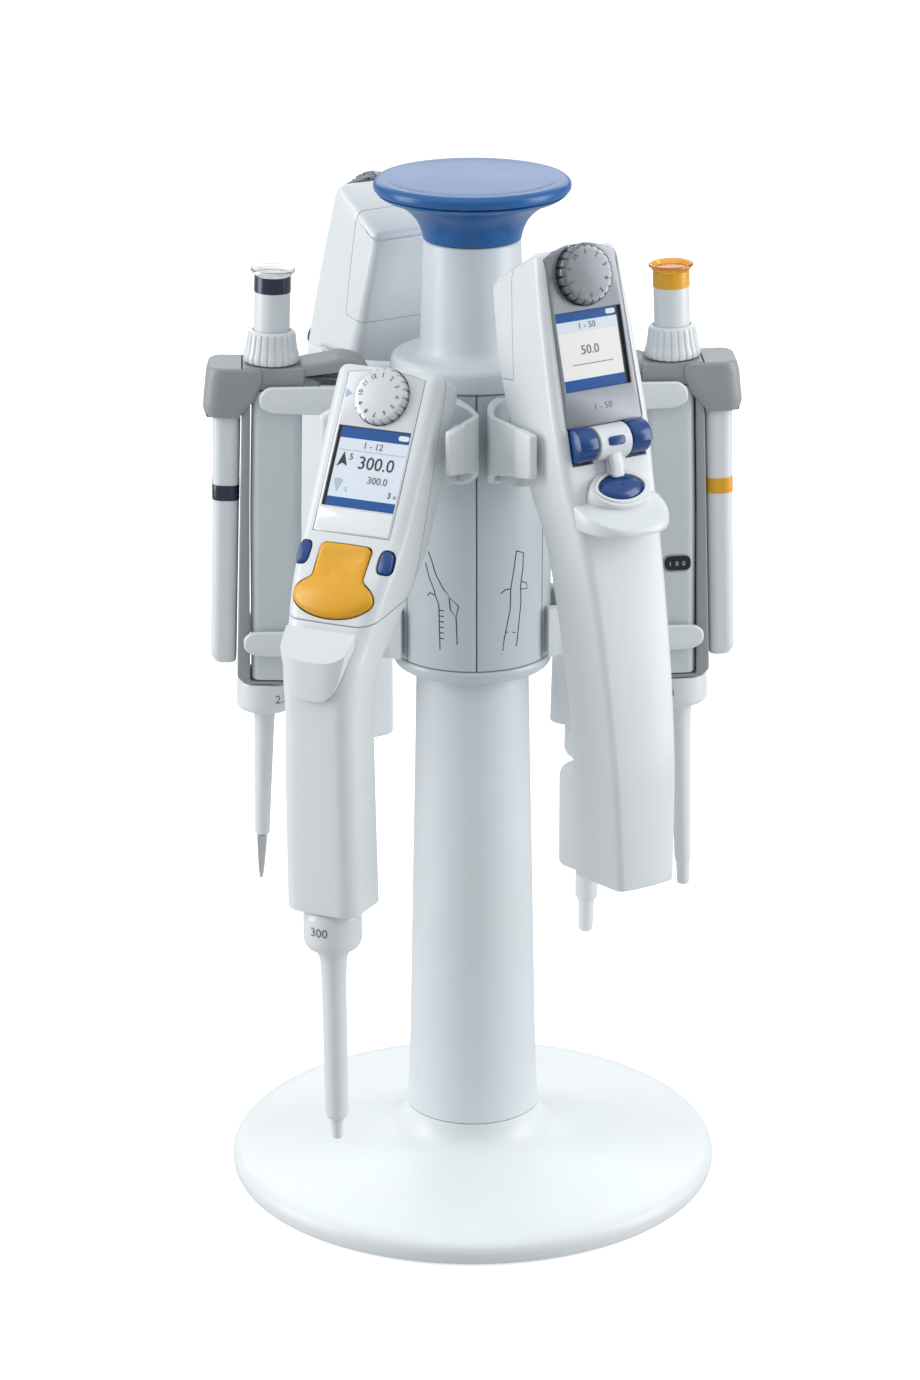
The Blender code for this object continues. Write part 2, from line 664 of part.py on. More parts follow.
def dispenser_hood():
    """Flared lip round the trigger, free to slide down the body."""
    rows = ((96.8, 303.2, 20.4, 18.4), (97.0, 304.6, 21.0, 18.8), (97.0, 306.2, 20.2, 18.6),
            (96.4, 309.6, 17.6, 17.8), (96.0, 313.6, 13.6, 15.4), (96.4, 317.0, 11.0, 12.8))
    sections = [[Vector((x + dx, y, z - 0.05 * dx)) for dx, y in rounded(reach, half, 2.6, 22)]
                for x, z, reach, half in rows]
    hood = loft(sections)
    cut(hood, dispenser_body(GAP), hood_moved(dispenser_body(GAP), -HOOD_TRAVEL))
    rear = [(70, 290), (92.5, 290), (92.5, 330), (70, 330)]
    return cut(hood, prism(rear, -30, 30))


def trigger_frame():
    return face_frame((101.2, 316.4), 52.0)


def trigger_dome(grow, low, high):
    outline = rounded(10.0 + grow, 5.8 + grow, 2.2, 20)
    frame = trigger_frame()
    sections = [[on_face(frame, x * scale, y * scale, out) for x, y in outline]
                for scale, out in ((1.0, low), (1.0, high - 1.6), (0.82, high - 0.4), (0.5, high))]
    return loft(sections)


def electronic_dispenser():
    face = face_frame(DISPENSER_POINT, DISPENSER_LEAN)
    dial_centre = (0.0, 29.6)
    key_inner, key_outer, key_radius = 7.7, 16.4, 6.2

    housing = dispenser_body()
    lower_block = [(79.4, 162.4), (81.0, 160.6), (95.0, 162.0), (95.0, 206.0), (88.0, 206.0),
                   (82.0, 203.4), (79.4, 200.0)]
    join(housing, prism(lower_block, -11.5, 11.5))
    join(housing, device_hook(72.0))
    cut(housing, prism(arched_panel(GAP), -2.2, 9.0, face))
    for low, high in ((-key_outer, -key_inner), (key_inner, key_outer)):
        cut(housing, barrel(key_radius + 1.1, low - GAP, high + GAP, face))
    join(housing, barrel(key_radius, -key_inner + GAP, key_inner - GAP, face))
    strut = [(95.0, 331.6), (99.0, 330.0), (100.6, 322.8), (95.0, 322.0)]
    join(housing, prism(strut, -3.0, 3.0))

    front_panel = prism(arched_panel(), -1.8, 0.5, face)
    cut(front_panel, disc(DISPENSER_DIAL_RADIUS + GAP, -3, 4, face, dial_centre, chamfer=0))
    dial = disc(DISPENSER_DIAL_RADIUS, -1.8, 4.4, face, dial_centre)
    keys = [barrel(key_radius, *span, face)
            for span in ((-key_outer, -key_inner), (key_inner, key_outer))]

    hood = dispenser_hood()
    cut(hood, trigger_dome(GAP, -4.6, 14.0))
    for travel in (0.0, 0.8, 1.6, 2.4, 3.2, 4.0, HOOD_TRAVEL):
        cut(housing, hood_moved(trigger_dome(GAP, -4.3, 14.0), travel))
    trigger = trigger_dome(0.0, -2.4, 3.2)
    return {
        "housing": (housing, "white_plastic", (100.0, 0, 160.0)),
        "front_panel": (front_panel, "panel_grey", on_face(face, 0, 0)),
        "dial": (dial, "panel_grey", on_face(face, *dial_centre)),
        "left_key": (keys[0], "blue_plastic", on_face(face, -12.5, -33.4)),
        "right_key": (keys[1], "blue_plastic", on_face(face, 12.5, -33.4)),
        "trigger": (trigger, "blue_plastic", on_face(trigger_frame(), 0, 0)),
        "hood": (hood, "white_plastic", (105.0, 0, 310.0)),
    }


# ---------------------------------------------------------------- assembly

def install(pieces, prefix, frame, origin=(0.0, 0.0, 0.0)):
    """Make a named object of each piece, with its own origin on its pivot."""
    for name, (solid, material, pivot) in pieces.items():
        mesh = solid.data
        if not mesh.get("centred"):
            mesh.transform(Matrix.Translation(-Vector(pivot) * MM))
            mesh.materials.clear()
            mesh.materials.append(MATERIALS[material])
            mesh.shade_smooth()
            mesh.set_sharp_from_angle(angle=radians(35))
            mesh["centred"] = True
        obj = bpy.data.objects.new(f"{prefix}{name}", mesh)
        obj.location = (Vector(pivot) - Vector(origin)) * MM
        obj.parent = frame
        PARTS.objects.link(obj)


def empty(name, location=(0, 0, 0), rotation=(0, 0, 0), parent=None):
    frame = bpy.data.objects.new(name, None)
    frame.location = Vector(location) * MM
    frame.rotation_euler = [radians(angle) for angle in rotation]
    frame.parent = parent
    PARTS.objects.link(frame)
    return frame


def drop_tools(*groups):
    for pieces in groups:
        for solid, _, _ in pieces.values():
            bpy.data.objects.remove(solid)


clear_scene()
MATERIALS = {name: make_material(name) for name in COLOURS}
PARTS = bpy.data.collections.new("pipette_set")
bpy.context.scene.collection.children.link(PARTS)

CENTRE = (0.0, 0.0, 0.0)
stand = {
    "base_plate": (base_plate(), "white_plastic", CENTRE),
    "column": (column(), "grey_white_plastic", CENTRE),
    "bearing": (bearing(), "bearing_plastic", CENTRE),
}
carousel = {
    "hub_core": (hub_core(), "white_plastic", CENTRE),
    "neck": (neck(), "white_plastic", CENTRE),
    "knob_skirt": (knob_skirt(), "blue_plastic", CENTRE),
    "knob_plate": (knob_plate(), "blue_plastic", CENTRE),
}
carousel_frame = empty("carousel_frame", rotation=(0, 0, FIRST_STATION))
install(stand, "", None)
install(carousel, "", carousel_frame)

stations = [empty(f"station_{index + 1}", rotation=(0, 0, STATION_STEP * index),
                  parent=carousel_frame) for index in range(6)]
RIGHT, BACK_RIGHT, BACK_LEFT, LEFT, FRONT_LEFT, FRONT_RIGHT = stations

fork = {"holder": (manual_holder(), "white_plastic", CENTRE)}
short_cradle = {"holder": (device_cradle(71.0, 1.9), "white_plastic", CENTRE)}
long_cradle = {"holder": (device_cradle(79.5, 0.0), "white_plastic", CENTRE)}
for prefix, pieces, frame in (("right_", fork, RIGHT), ("back_right_", short_cradle, BACK_RIGHT),
                              ("back_left_", long_cradle, BACK_LEFT), ("left_", fork, LEFT),
                              ("front_left_", short_cradle, FRONT_LEFT),
                              ("front_right_", long_cradle, FRONT_RIGHT)):
    install(pieces, prefix, frame)

right_manual = manual_pipette(LONG_SHAFT, "orange_plastic", steel_nose=False)
left_manual = manual_pipette(STEEL_NOSE_SHAFT, "clear_cap", steel_nose=True)
for side, pieces, frame in (("right", right_manual, RIGHT), ("left", left_manual, LEFT)):
    lean = empty(f"{side}_lean", MANUAL_PLACE, (0, -MANUAL_LEAN, 0), frame)
    install(pieces, f"{side}_pipette_", lean)

front_pipette = electronic_pipette(2.45, 4.5, 59.4, 68.0)
back_pipette = electronic_pipette(3.45, 4.9, 58.0, 73.0)
FRONT_PIVOT = (118.0, 0.0, 150.0)
front_sway = empty("front_pipette_sway", FRONT_PIVOT, (FIRST_PIPETTE_SWAY, 0, 0), FRONT_LEFT)
install(front_pipette, "front_pipette_", front_sway, FRONT_PIVOT)
SWAY_PIVOT = (66.0, 0.0, 325.0)
sway = empty("back_pipette_sway", SWAY_PIVOT, (SECOND_PIPETTE_SWAY, 0, 0), BACK_RIGHT)
install(back_pipette, "back_pipette_", sway, SWAY_PIVOT)

dispenser = electronic_dispenser()
install(dispenser, "front_dispenser_", FRONT_RIGHT)
install(dispenser, "back_dispenser_", BACK_LEFT)

drop_tools(stand, carousel, fork, short_cradle, long_cradle, right_manual, left_manual,
           front_pipette, back_pipette, dispenser)
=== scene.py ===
"""Looks of the pipette carousel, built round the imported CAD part.

Each tool is modelled in the upright plane of its station: x runs outward from the
column, y runs anticlockwise and z is up.  On a tool's face, "across" runs to the
viewer's right, "up" climbs the face and "out" leaves it.  Sizes are in millimetres.
"""
import json
from math import ceil, cos, hypot, pi, radians, sin
import bpy
import bmesh
from mathutils import Matrix, Vector

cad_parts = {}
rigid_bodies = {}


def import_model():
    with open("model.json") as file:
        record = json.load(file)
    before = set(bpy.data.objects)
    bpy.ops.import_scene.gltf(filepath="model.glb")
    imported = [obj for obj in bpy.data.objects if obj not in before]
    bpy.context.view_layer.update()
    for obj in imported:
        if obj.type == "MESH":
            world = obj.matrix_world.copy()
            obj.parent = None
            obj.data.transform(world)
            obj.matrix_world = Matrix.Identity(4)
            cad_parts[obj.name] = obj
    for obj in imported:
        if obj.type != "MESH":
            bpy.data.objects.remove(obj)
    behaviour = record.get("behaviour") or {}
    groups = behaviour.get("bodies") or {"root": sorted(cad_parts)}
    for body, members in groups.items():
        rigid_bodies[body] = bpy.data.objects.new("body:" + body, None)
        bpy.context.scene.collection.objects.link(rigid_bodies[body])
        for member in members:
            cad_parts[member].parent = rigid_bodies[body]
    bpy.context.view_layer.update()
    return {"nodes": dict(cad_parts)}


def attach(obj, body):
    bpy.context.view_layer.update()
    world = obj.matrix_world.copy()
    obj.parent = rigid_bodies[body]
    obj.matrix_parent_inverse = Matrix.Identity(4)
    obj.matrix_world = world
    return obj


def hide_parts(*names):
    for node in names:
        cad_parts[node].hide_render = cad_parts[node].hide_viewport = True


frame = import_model()
MM = 0.001
LOOKS = bpy.data.collections.new("looks")
bpy.context.scene.collection.children.link(LOOKS)


# -------------------- materials

COAT_ROUGHNESS, GLOSS_SPREAD = 0.08, 0.05
CLOUD_SCALE, GRAIN_SCALE, GRAIN_DEPTH = 38, 2600, 0.0001


def set_inputs(node, values):
    for socket, value in values.items():
        node.inputs[socket].default_value = value
    return node


def plastic(name, colour, roughness, metallic=0, grain=0.02, coat=0, shade=0.03, edge=0.25):
    """Moulded plastic: fine spark-eroded grain, faint colour and gloss variation."""
    material = bpy.data.materials.new(name)
    material.use_nodes = True
    nodes, links = material.node_tree.nodes, material.node_tree.links
    shader = set_inputs(nodes["Principled BSDF"], {
        "Metallic": metallic, "Coat Weight": coat, "Coat Roughness": COAT_ROUGHNESS})
    place = nodes.new("ShaderNodeTexCoord")
    cloud = set_inputs(nodes.new("ShaderNodeTexNoise"), {"Scale": CLOUD_SCALE, "Detail": 3})
    links.new(place.outputs["Object"], cloud.inputs["Vector"])
    tint = nodes.new("ShaderNodeMix")
    tint.data_type = "RGBA"
    tint.inputs[6].default_value = (*[c * (1 - shade) for c in colour], 1)
    tint.inputs[7].default_value = (*[min(c * (1 + shade), 1) for c in colour], 1)
    links.new(cloud.outputs["Fac"], tint.inputs[0])
    links.new(tint.outputs[2], shader.inputs["Base Color"])
    gloss = set_inputs(nodes.new("ShaderNodeMapRange"), {
        "To Min": roughness - GLOSS_SPREAD, "To Max": roughness + GLOSS_SPREAD})
    links.new(cloud.outputs["Fac"], gloss.inputs["Value"])
    links.new(gloss.outputs["Result"], shader.inputs["Roughness"])
    fine = set_inputs(nodes.new("ShaderNodeTexNoise"), {"Scale": GRAIN_SCALE, "Detail": 2})
    links.new(place.outputs["Object"], fine.inputs["Vector"])
    bump = set_inputs(nodes.new("ShaderNodeBump"), {"Strength": grain, "Distance": GRAIN_DEPTH})
    links.new(fine.outputs["Fac"], bump.inputs["Height"])
    if edge:
        soft = set_inputs(nodes.new("ShaderNodeBevel"), {"Radius": edge * MM})
        soft.samples = 4
        links.new(soft.outputs["Normal"], bump.inputs["Normal"])
    links.new(bump.outputs["Normal"], shader.inputs["Normal"])
    material.diffuse_color = (*colour, 1)
    return material


def clear_plastic(name, colour):
    material = plastic(name, colour, 0.1, grain=0, edge=0)
    shader = material.node_tree.nodes["Principled BSDF"]
    set_inputs(shader, {"Transmission Weight": 0.85, "IOR": 1.45})
    return material


def brushed(name, colour, roughness, metallic):
    """Satin metal or metallic paint with fine lines along the part."""
    material = plastic(name, colour, roughness, metallic, grain=0.05, edge=0.2)
    nodes, links = material.node_tree.nodes, material.node_tree.links
    stretch = nodes.new("ShaderNodeMapping")
    stretch.inputs["Scale"].default_value = (1, 1, 0.04)
    coordinates = next(n for n in nodes if n.type == "TEX_COORD")
    fine = [n for n in nodes if n.type == "TEX_NOISE"][1]
    links.new(coordinates.outputs["Object"], stretch.inputs["Vector"])
    links.new(stretch.outputs["Vector"], fine.inputs["Vector"])
    return material


WHITE = plastic("white_satin", (0.74, 0.77, 0.79), 0.32, coat=0.1)
STAND = plastic("stand_white", (0.78, 0.81, 0.83), 0.38)
COLUMN = plastic("column_white", (0.70, 0.74, 0.77), 0.36)
PANEL = plastic("hub_grey_white", (0.56, 0.61, 0.64), 0.3, coat=0.15)
HANDLE = plastic("handle_grey_white", (0.62, 0.66, 0.68), 0.36)
GREY = plastic("warm_grey", (0.32, 0.33, 0.345), 0.42, grain=0.04)
BLUE = plastic("deep_blue", (0.004, 0.105, 0.34), 0.30, coat=0.1)
KEY_BLUE = plastic("key_blue", (0.003, 0.05, 0.22), 0.26, coat=0.12)
ORANGE = plastic("signal_orange", (0.80, 0.39, 0.012), 0.36, coat=0.1)
NAVY = plastic("navy_band", (0.012, 0.018, 0.05), 0.25, coat=0.3)
METAL_GREY = brushed("metallic_grey", (0.24, 0.255, 0.285), 0.34, 0.5)
DIAL_GREY = brushed("dial_grey", (0.22, 0.23, 0.25), 0.3, 0.6)
SILVER = brushed("pearl_silver", (0.66, 0.67, 0.70), 0.28, 0.3)
STEEL = brushed("polished_steel", (0.6, 0.61, 0.62), 0.18, 1)
# One black serves the real dark glass and window lenses, and also the black sheets that paint
# the shade inside pockets and gaps.
BLACK_AND_PAINTED_SHADE = plastic("black_glass_and_painted_shade", (0.008, 0.009, 0.012), 0.4, edge=0)
INK = plastic("ink_black", (0.02, 0.02, 0.025), 0.45, edge=0)
INK_GREY = plastic("ink_grey", (0.16, 0.17, 0.18), 0.45, edge=0)
INK_PALE = plastic("ink_pale_blue", (0.42, 0.55, 0.68), 0.4, edge=0)
SCREEN = plastic("screen_pale", (0.76, 0.83, 0.92), 0.15, coat=0.6, edge=0, grain=0)
SCREEN_WHITE = plastic("screen_white", (0.90, 0.90, 0.87), 0.15, coat=0.6, edge=0, grain=0)
SCREEN_BLUE = plastic("screen_blue", (0.005, 0.085, 0.33), 0.2, coat=0.2, edge=0, grain=0)
BLANK = plastic("white_gloss", (0.88, 0.89, 0.90), 0.1, coat=0.8, edge=0.1, grain=0)
CLEAR = clear_plastic("clear_cap", (0.93, 0.95, 0.95))
CLEAR_ORANGE = clear_plastic("clear_orange", (0.90, 0.42, 0.06))
BEARING = plastic("bearing_black", (0.02, 0.02, 0.022), 0.5)


# -------------------- mesh helpers

GAP = 0.35
SHARP_ANGLE = radians(30)
# Outlines of (x, z) pairs with thickness along -y, and of (y, z) pairs with it along x.
SIDE = Matrix(((1, 0, 0, 0), (0, 0, -1, 0), (0, 1, 0, 0), (0, 0, 0, 1)))
FRONT = Matrix(((0, 0, 1, 0), (1, 0, 0, 0), (0, 1, 0, 0), (0, 0, 0, 1)))


def solid(mesh, matrix=None):
    if matrix is not None:
        mesh.transform(matrix)
    obj = bpy.data.objects.new("solid", mesh)
    bpy.context.scene.collection.objects.link(obj)
    return obj


def skin(rings, matrix=None, loop=False):
    """A closed surface through rings of points that all have the same count."""
    bm = bmesh.new()
    made = [[bm.verts.new(Vector(point) * MM) for point in ring] for ring in rings]
    count = len(rings[0])
    pairs = list(zip(made, made[1:]))
    if loop:
        pairs.append((made[-1], made[0]))
    for lower, upper in pairs:
        for index in range(count):
            after = (index + 1) % count
            bm.faces.new((lower[index], lower[after], upper[after], upper[index]))
    if not loop:
        bm.faces.new(list(reversed(made[0])))
        bm.faces.new(made[-1])
    bmesh.ops.remove_doubles(bm, verts=bm.verts, dist=0.000001)
    bmesh.ops.recalc_face_normals(bm, faces=bm.faces)
    mesh = bpy.data.meshes.new("skin")
    bm.to_mesh(mesh)
    bm.free()
    return solid(mesh, matrix)


def combine(target, tool, operation):
    modifier = target.modifiers.new(operation.lower(), "BOOLEAN")
    modifier.operation = operation
    modifier.solver = "EXACT"
    modifier.object = tool
    bpy.context.view_layer.update()
    depsgraph = bpy.context.evaluated_depsgraph_get()
    mesh = bpy.data.meshes.new_from_object(target.evaluated_get(depsgraph))
    target.modifiers.clear()
    target.data = mesh
    bpy.data.objects.remove(tool)
    return target


def cut(target, *tools):
    for tool in tools:
        combine(target, tool, "DIFFERENCE")
    return target


def merge(*solids):
    """Several closed solids kept as one object."""
    bm = bmesh.new()
    for piece in solids:
        bm.from_mesh(piece.data)
        bpy.data.objects.remove(piece)
    mesh = bpy.data.meshes.new("merged")
    bm.to_mesh(mesh)
    bm.free()
    return solid(mesh)


def fillet(points, radius, steps=4):
    """Round an outline's corners."""
    made = []
    count = len(points)
    for index, (x, y) in enumerate(points):
        corner = Vector((x, y))
        before, after = Vector(points[index - 1]), Vector(points[(index + 1) % count])
        back, on = before - corner, after - corner
        reach = min(radius, back.length * 0.46, on.length * 0.46)
        start, end = corner + back.normalized() * reach, corner + on.normalized() * reach
        for step in range(steps + 1):
            t = step / steps
            point = start * (1 - t) ** 2 + corner * 2 * t * (1 - t) + end * t * t
            made.append((point.x, point.y))
    return made


def inset(points, distance):
    """Move an outline inward."""
    count = len(points)
    area = sum(points[i - 1][0] * points[i][1] - points[i][0] * points[i - 1][1]
               for i in range(count))
    side = 1 if area > 0 else -1
    made = []
    for index in range(count):
        a, b, c = (Vector(points[(index + k) % count]) for k in (-1, 0, 1))
        one, two = (b - a), (c - b)
        if one.length < 1e-6 or two.length < 1e-6:
            one = two = c - a
        one, two = one.normalized(), two.normalized()
        normal = Vector((-one.y - two.y, one.x + two.x))
        if normal.length < 1e-6:
            normal = Vector((-one.y, one.x))
        normal.normalize()
        point = b + normal * side * distance
        made.append((point.x, point.y))
    return made


def slab(points, low, high, matrix=None, edge=0.3, both=False):
    """An outline given thickness, with rounded upper (or both) edges."""
    levels = [(0, low)]
    turns = [step * pi / 6 for step in range(4)]
    if both:
        levels = [(edge * (1 - sin(a)), low + edge * (1 - cos(a))) for a in turns]
    if edge:
        levels += [(edge * (1 - cos(a)), high - edge + edge * sin(a)) for a in turns]
    else:
        levels.append((0, high))
    rings = [[(x, y, z) for x, y in (inset(points, d) if d else points)] for d, z in levels]
    return skin(rings, matrix)


def lathe(profile, steps=96, matrix=None, radius_of=None, loop=False):
    """A profile of (radius, height) pairs turned about z."""
    rings = []
    for radius, height in profile:
        ring = []
        for step in range(steps):
            angle = 2 * pi * step / steps
            reach = max(radius_of(radius, height, angle) if radius_of else radius, 0.02)
            ring.append((reach * cos(angle), reach * sin(angle), height))
        rings.append(ring)
    return skin(rings, matrix, loop)


def softened(profile, radius):
    """A turned profile with rounded corners; its two ends stay."""
    steps = 4
    points = fillet(profile, radius, steps)
    return [profile[0]] + points[steps + 1:-(steps + 1)] + [profile[-1]]


def pill(half_x, half_y, x=0, y=0, count=40, squareness=2.5):
    made = []
    for step in range(count):
        angle = 2 * pi * (step + 0.5) / count
        u, v = cos(angle), sin(angle)
        made.append((x + half_x * abs(u) ** (2 / squareness) * (1 if u > 0 else -1),
                     y + half_y * abs(v) ** (2 / squareness) * (1 if v > 0 else -1)))
    return made


def box(x0, x1, y0, y1):
    return [(x0, y0), (x1, y0), (x1, y1), (x0, y1)]


def disc(radius, low, high):
    """The profile of a plain turned plug."""
    return [(0, low), (radius, low), (radius, high), (0, high)]


def smooth_rows(rows, spacing=3):
    """Monotone cubic rows between the given ones."""
    spans = [max(hypot(b[0] - a[0], b[1] - a[1]), 0.05) for a, b in zip(rows, rows[1:])]
    slopes = [[(v - u) / span for u, v in zip(a, b)]
              for a, b, span in zip(rows, rows[1:], spans)]
    tangents = [slopes[0]]
    for low, high in zip(slopes, slopes[1:]):
        tangents.append([2 * u * v / (u + v) if u * v > 0 else 0 for u, v in zip(low, high)])
    tangents.append(slopes[-1])
    made = []
    for k, span in enumerate(spans):
        steps = max(2, ceil(span / spacing))
        for step in range(steps):
            t = step / steps
            made.append([
                (2 * t ** 3 - 3 * t ** 2 + 1) * a + (t ** 3 - 2 * t ** 2 + t) * span * m
                + (3 * t ** 2 - 2 * t ** 3) * b + (t ** 3 - t ** 2) * span * n
                for a, b, m, n in zip(rows[k], rows[k + 1], tangents[k], tangents[k + 1])])
    made.append(list(rows[-1]))
    return made


def section(depth, width, front_radius, back_radius, crown=0, shrink=0):
    """A rounded box; the front edge bows by crown."""
    half_d, half_w = depth / 2 - shrink, width / 2 - shrink
    corners = []
    for side_x, side_y, first in ((1, -1, -90), (1, 1, 0), (-1, 1, 90), (-1, -1, 180)):
        radius = (front_radius if side_x > 0 else back_radius) - shrink
        radius = max(min(radius, half_d, half_w), 0.2)
        corner = []
        for step in range(10):
            angle = radians(first + 10 * step)
            corner.append((side_x * (half_d - radius) + radius * cos(angle),
                           side_y * (half_w - radius) + radius * sin(angle)))
        corners.append(corner)
    points = []
    for index, corner in enumerate(corners):
        points += corner
        (x0, y0), (x1, y1) = corner[-1], corners[(index + 1) % 4][0]
        points += [(x0 + (x1 - x0) * k / 6, y0 + (y1 - y0) * k / 6) for k in range(1, 6)]
    return [(x - crown * (y / half_w) ** 2 if x > 0 else x, y) for x, y in points]


def body_ring(row, shrink=0, rise=0):
    """Row: front x, front z, depth, width, lean, front radius, back radius, crown."""
    front_x, front_z, depth, width, lean, front_r, back_r, crown = row
    tilt = radians(lean)
    normal, up = Vector((cos(tilt), 0, sin(tilt))), Vector((-sin(tilt), 0, cos(tilt)))
    centre = Vector((front_x, 0, front_z)) - normal * depth / 2 + up * rise
    return [centre + normal * x + Vector((0, y, 0))
            for x, y in section(depth, width, front_r, back_r, crown, shrink)]


def body(rows, low_round, high_round, grow=0):
    """A closed skin over rows, with its lower and upper rims rounded."""
    rows = smooth_rows(rows)
    turns = [step * pi / 10 for step in range(1, 6)]
    rings = [body_ring(row, -grow) for row in rows]
    for angle in turns:
        rings.insert(0, body_ring(rows[0], low_round * (1 - cos(angle)) - grow,
                                  -(low_round + grow) * sin(angle)))
        rings.append(body_ring(rows[-1], high_round * (1 - cos(angle)) - grow,
                               (high_round + grow) * sin(angle)))
    return skin(rings)


def sides(points, low, high, edge=0.4):
    """A side outline given thickness across, with both rims rounded."""
    return slab(points, low, high, SIDE, edge, both=True)


def side_block(points):
    """A cutter of a side outline that reaches right across a tool."""
    return slab(points, -40, 40, SIDE, 0)


def face_frame(x, z, lean):
    tilt = radians(lean)
    return Matrix(((0, -sin(tilt), cos(tilt), x * MM), (1, 0, 0, 0),
                   (0, cos(tilt), sin(tilt), z * MM), (0, 0, 0, 1)))


def move(x=0, y=0, z=0):
    return Matrix.Translation((x * MM, y * MM, z * MM))


def turn(degrees, axis):
    return Matrix.Rotation(radians(degrees), 4, axis)


def text(words, size, matrix, thick):
    """Raised generic figures, centred."""
    curve = bpy.data.curves.new("figures", "FONT")
    curve.body = words
    curve.size = size * MM
    curve.align_x = "CENTER"
    curve.align_y = "CENTER"
    curve.extrude = thick * MM
    curve.resolution_u = 3
    source = bpy.data.objects.new("figures", curve)
    bpy.context.scene.collection.objects.link(source)
    bpy.context.view_layer.update()
    depsgraph = bpy.context.evaluated_depsgraph_get()
    mesh = bpy.data.meshes.new_from_object(source.evaluated_get(depsgraph))
    bpy.data.objects.remove(source)
    bm = bmesh.new()
    bm.from_mesh(mesh)
    bmesh.ops.remove_doubles(bm, verts=bm.verts, dist=0.000001)
    bm.to_mesh(mesh)
    bm.free()
    return solid(mesh, matrix)


def wrap(piece, radius):
    """Bend a flat mark (across = x, up = y) round an upright cylinder at angle 0."""
    for vertex in piece.data.vertices:
        x, y, z = vertex.co
        reach = radius * MM + z
        angle = x / (radius * MM)
        vertex.co = (reach * cos(angle), reach * sin(angle), y)
    return piece


def stroke(points, width, matrix, thick):
    """A thin raised line through points on a face."""
    left, right = [], []
    for index, point in enumerate(points):
        a = Vector(points[max(index - 1, 0)])
        b = Vector(points[min(index + 1, len(points) - 1)])
        along = (b - a).normalized()
        across = Vector((-along.y, along.x)) * width / 2
        left.append(tuple(Vector(point) + across))
        right.append(tuple(Vector(point) - across))
    return slab(left + right[::-1], -thick, thick, matrix, edge=0)


def place(name, piece, matrix, body_name, material, nodes=()):
    """Put a copy of a shape in the row frame and let it ride on a CAD body."""
    mesh = piece.data.copy()
    mesh.transform(matrix)
    mesh.materials.clear()
    mesh.materials.append(material)
    mesh.shade_smooth()
    mesh.set_sharp_from_angle(angle=SHARP_ANGLE)
    obj = bpy.data.objects.new(name, mesh)
    LOOKS.objects.link(obj)
    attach(obj, body_name)
    if nodes:
        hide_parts(*nodes)


def install(pieces, prefix, matrix):
    """Pieces: name -> (shape, its moving part or "", material, any CAD node it stands for)."""
    for name, (piece, part, material, *nodes) in pieces.items():
        body_name = f"{prefix}_{part}" if part else prefix
        place(f"{prefix}_{name}_look", piece, matrix, body_name, material,
              [f"{prefix}_{node}" for node in nodes])


# -------------------- stand and hub

def base_plate():
    flare = smooth_rows([(27.3, 27.65), (27.7, 24.6), (29.4, 20.4), (33, 17.2), (38.5, 15.3),
                         (46, 14.2), (70, 12.3), (94.5, 10.1)], 2)
    edge = smooth_rows([(94.5, 10.1), (97.6, 9.2), (99.4, 7.4), (100, 5.2), (99.7, 2.4),
                        (98.9, 0.8), (97.6, 0)], 0.6)
    return lathe([(0, 27.65)] + flare + edge[1:] + [(0, 0)], 160)


def column():
    wall = smooth_rows([(22.5, 218.2), (23.3, 176), (24.2, 135), (25, 96), (25.8, 57),
                        (26.5, 38), (27, 31.5), (27.3, 28)], 8)
    return lathe([(0, 330), (14, 330), (14, 219), (21.9, 219), (22.3, 218.8)] + wall
                 + [(0, 28)], 128)


def hub_core():
    wall = fillet([(28.4, 337.2), (28.4, 225), (31.1, 225), (31.8, 223.9), (31.3, 221),
                   (29.6, 219.6), (21.6, 219.6), (21.6, 337.2)], 0.9, 3)
    return lathe(wall, 128, loop=True)


def neck():
    profile = [(0, 392.6), (19, 392.6), (19.75, 372), (20.5, 353), (21.1, 349.6),
               (22.9, 347.9), (25, 347.4), (29.7, 347.4), (31.7, 346.1), (32.3, 343.4),
               (32.3, 338), (0, 338)]
    return lathe(softened(profile, 1.4), 128)


def knob_skirt():
    flare = smooth_rows([(37, 410.9), (35, 409.4), (31.5, 408.1), (25.6, 404.5),
                         (21.6, 400), (19.7, 395.5), (19.1, 393)], 0.8)
    return lathe([(0, 411.5), (36.4, 411.5)] + flare + [(0, 393)], 128)


def knob_plate():
    rim = smooth_rows([(29, 416.15), (32, 416.35), (34.4, 416.6), (36.2, 416.4),
                       (37.6, 415.5), (38.3, 414.2), (38.2, 412.6), (37.5, 411.85)], 0.5)
    return lathe([(0, 416.1)] + rim + [(0, 411.85)], 160)


def hub_panel():
    rings = []
    for step in range(41):
        angle = radians(-29.45 + 58.9 * step / 40)
        shrink = 0.35 if step in (0, 40) else 0
        outline = fillet(box(28.8 + shrink, 31.2 - shrink, 225.4, 337.6), 0.5, 3)
        rings.append([(r * cos(angle), r * sin(angle), z) for r, z in outline])
    return skin(rings)


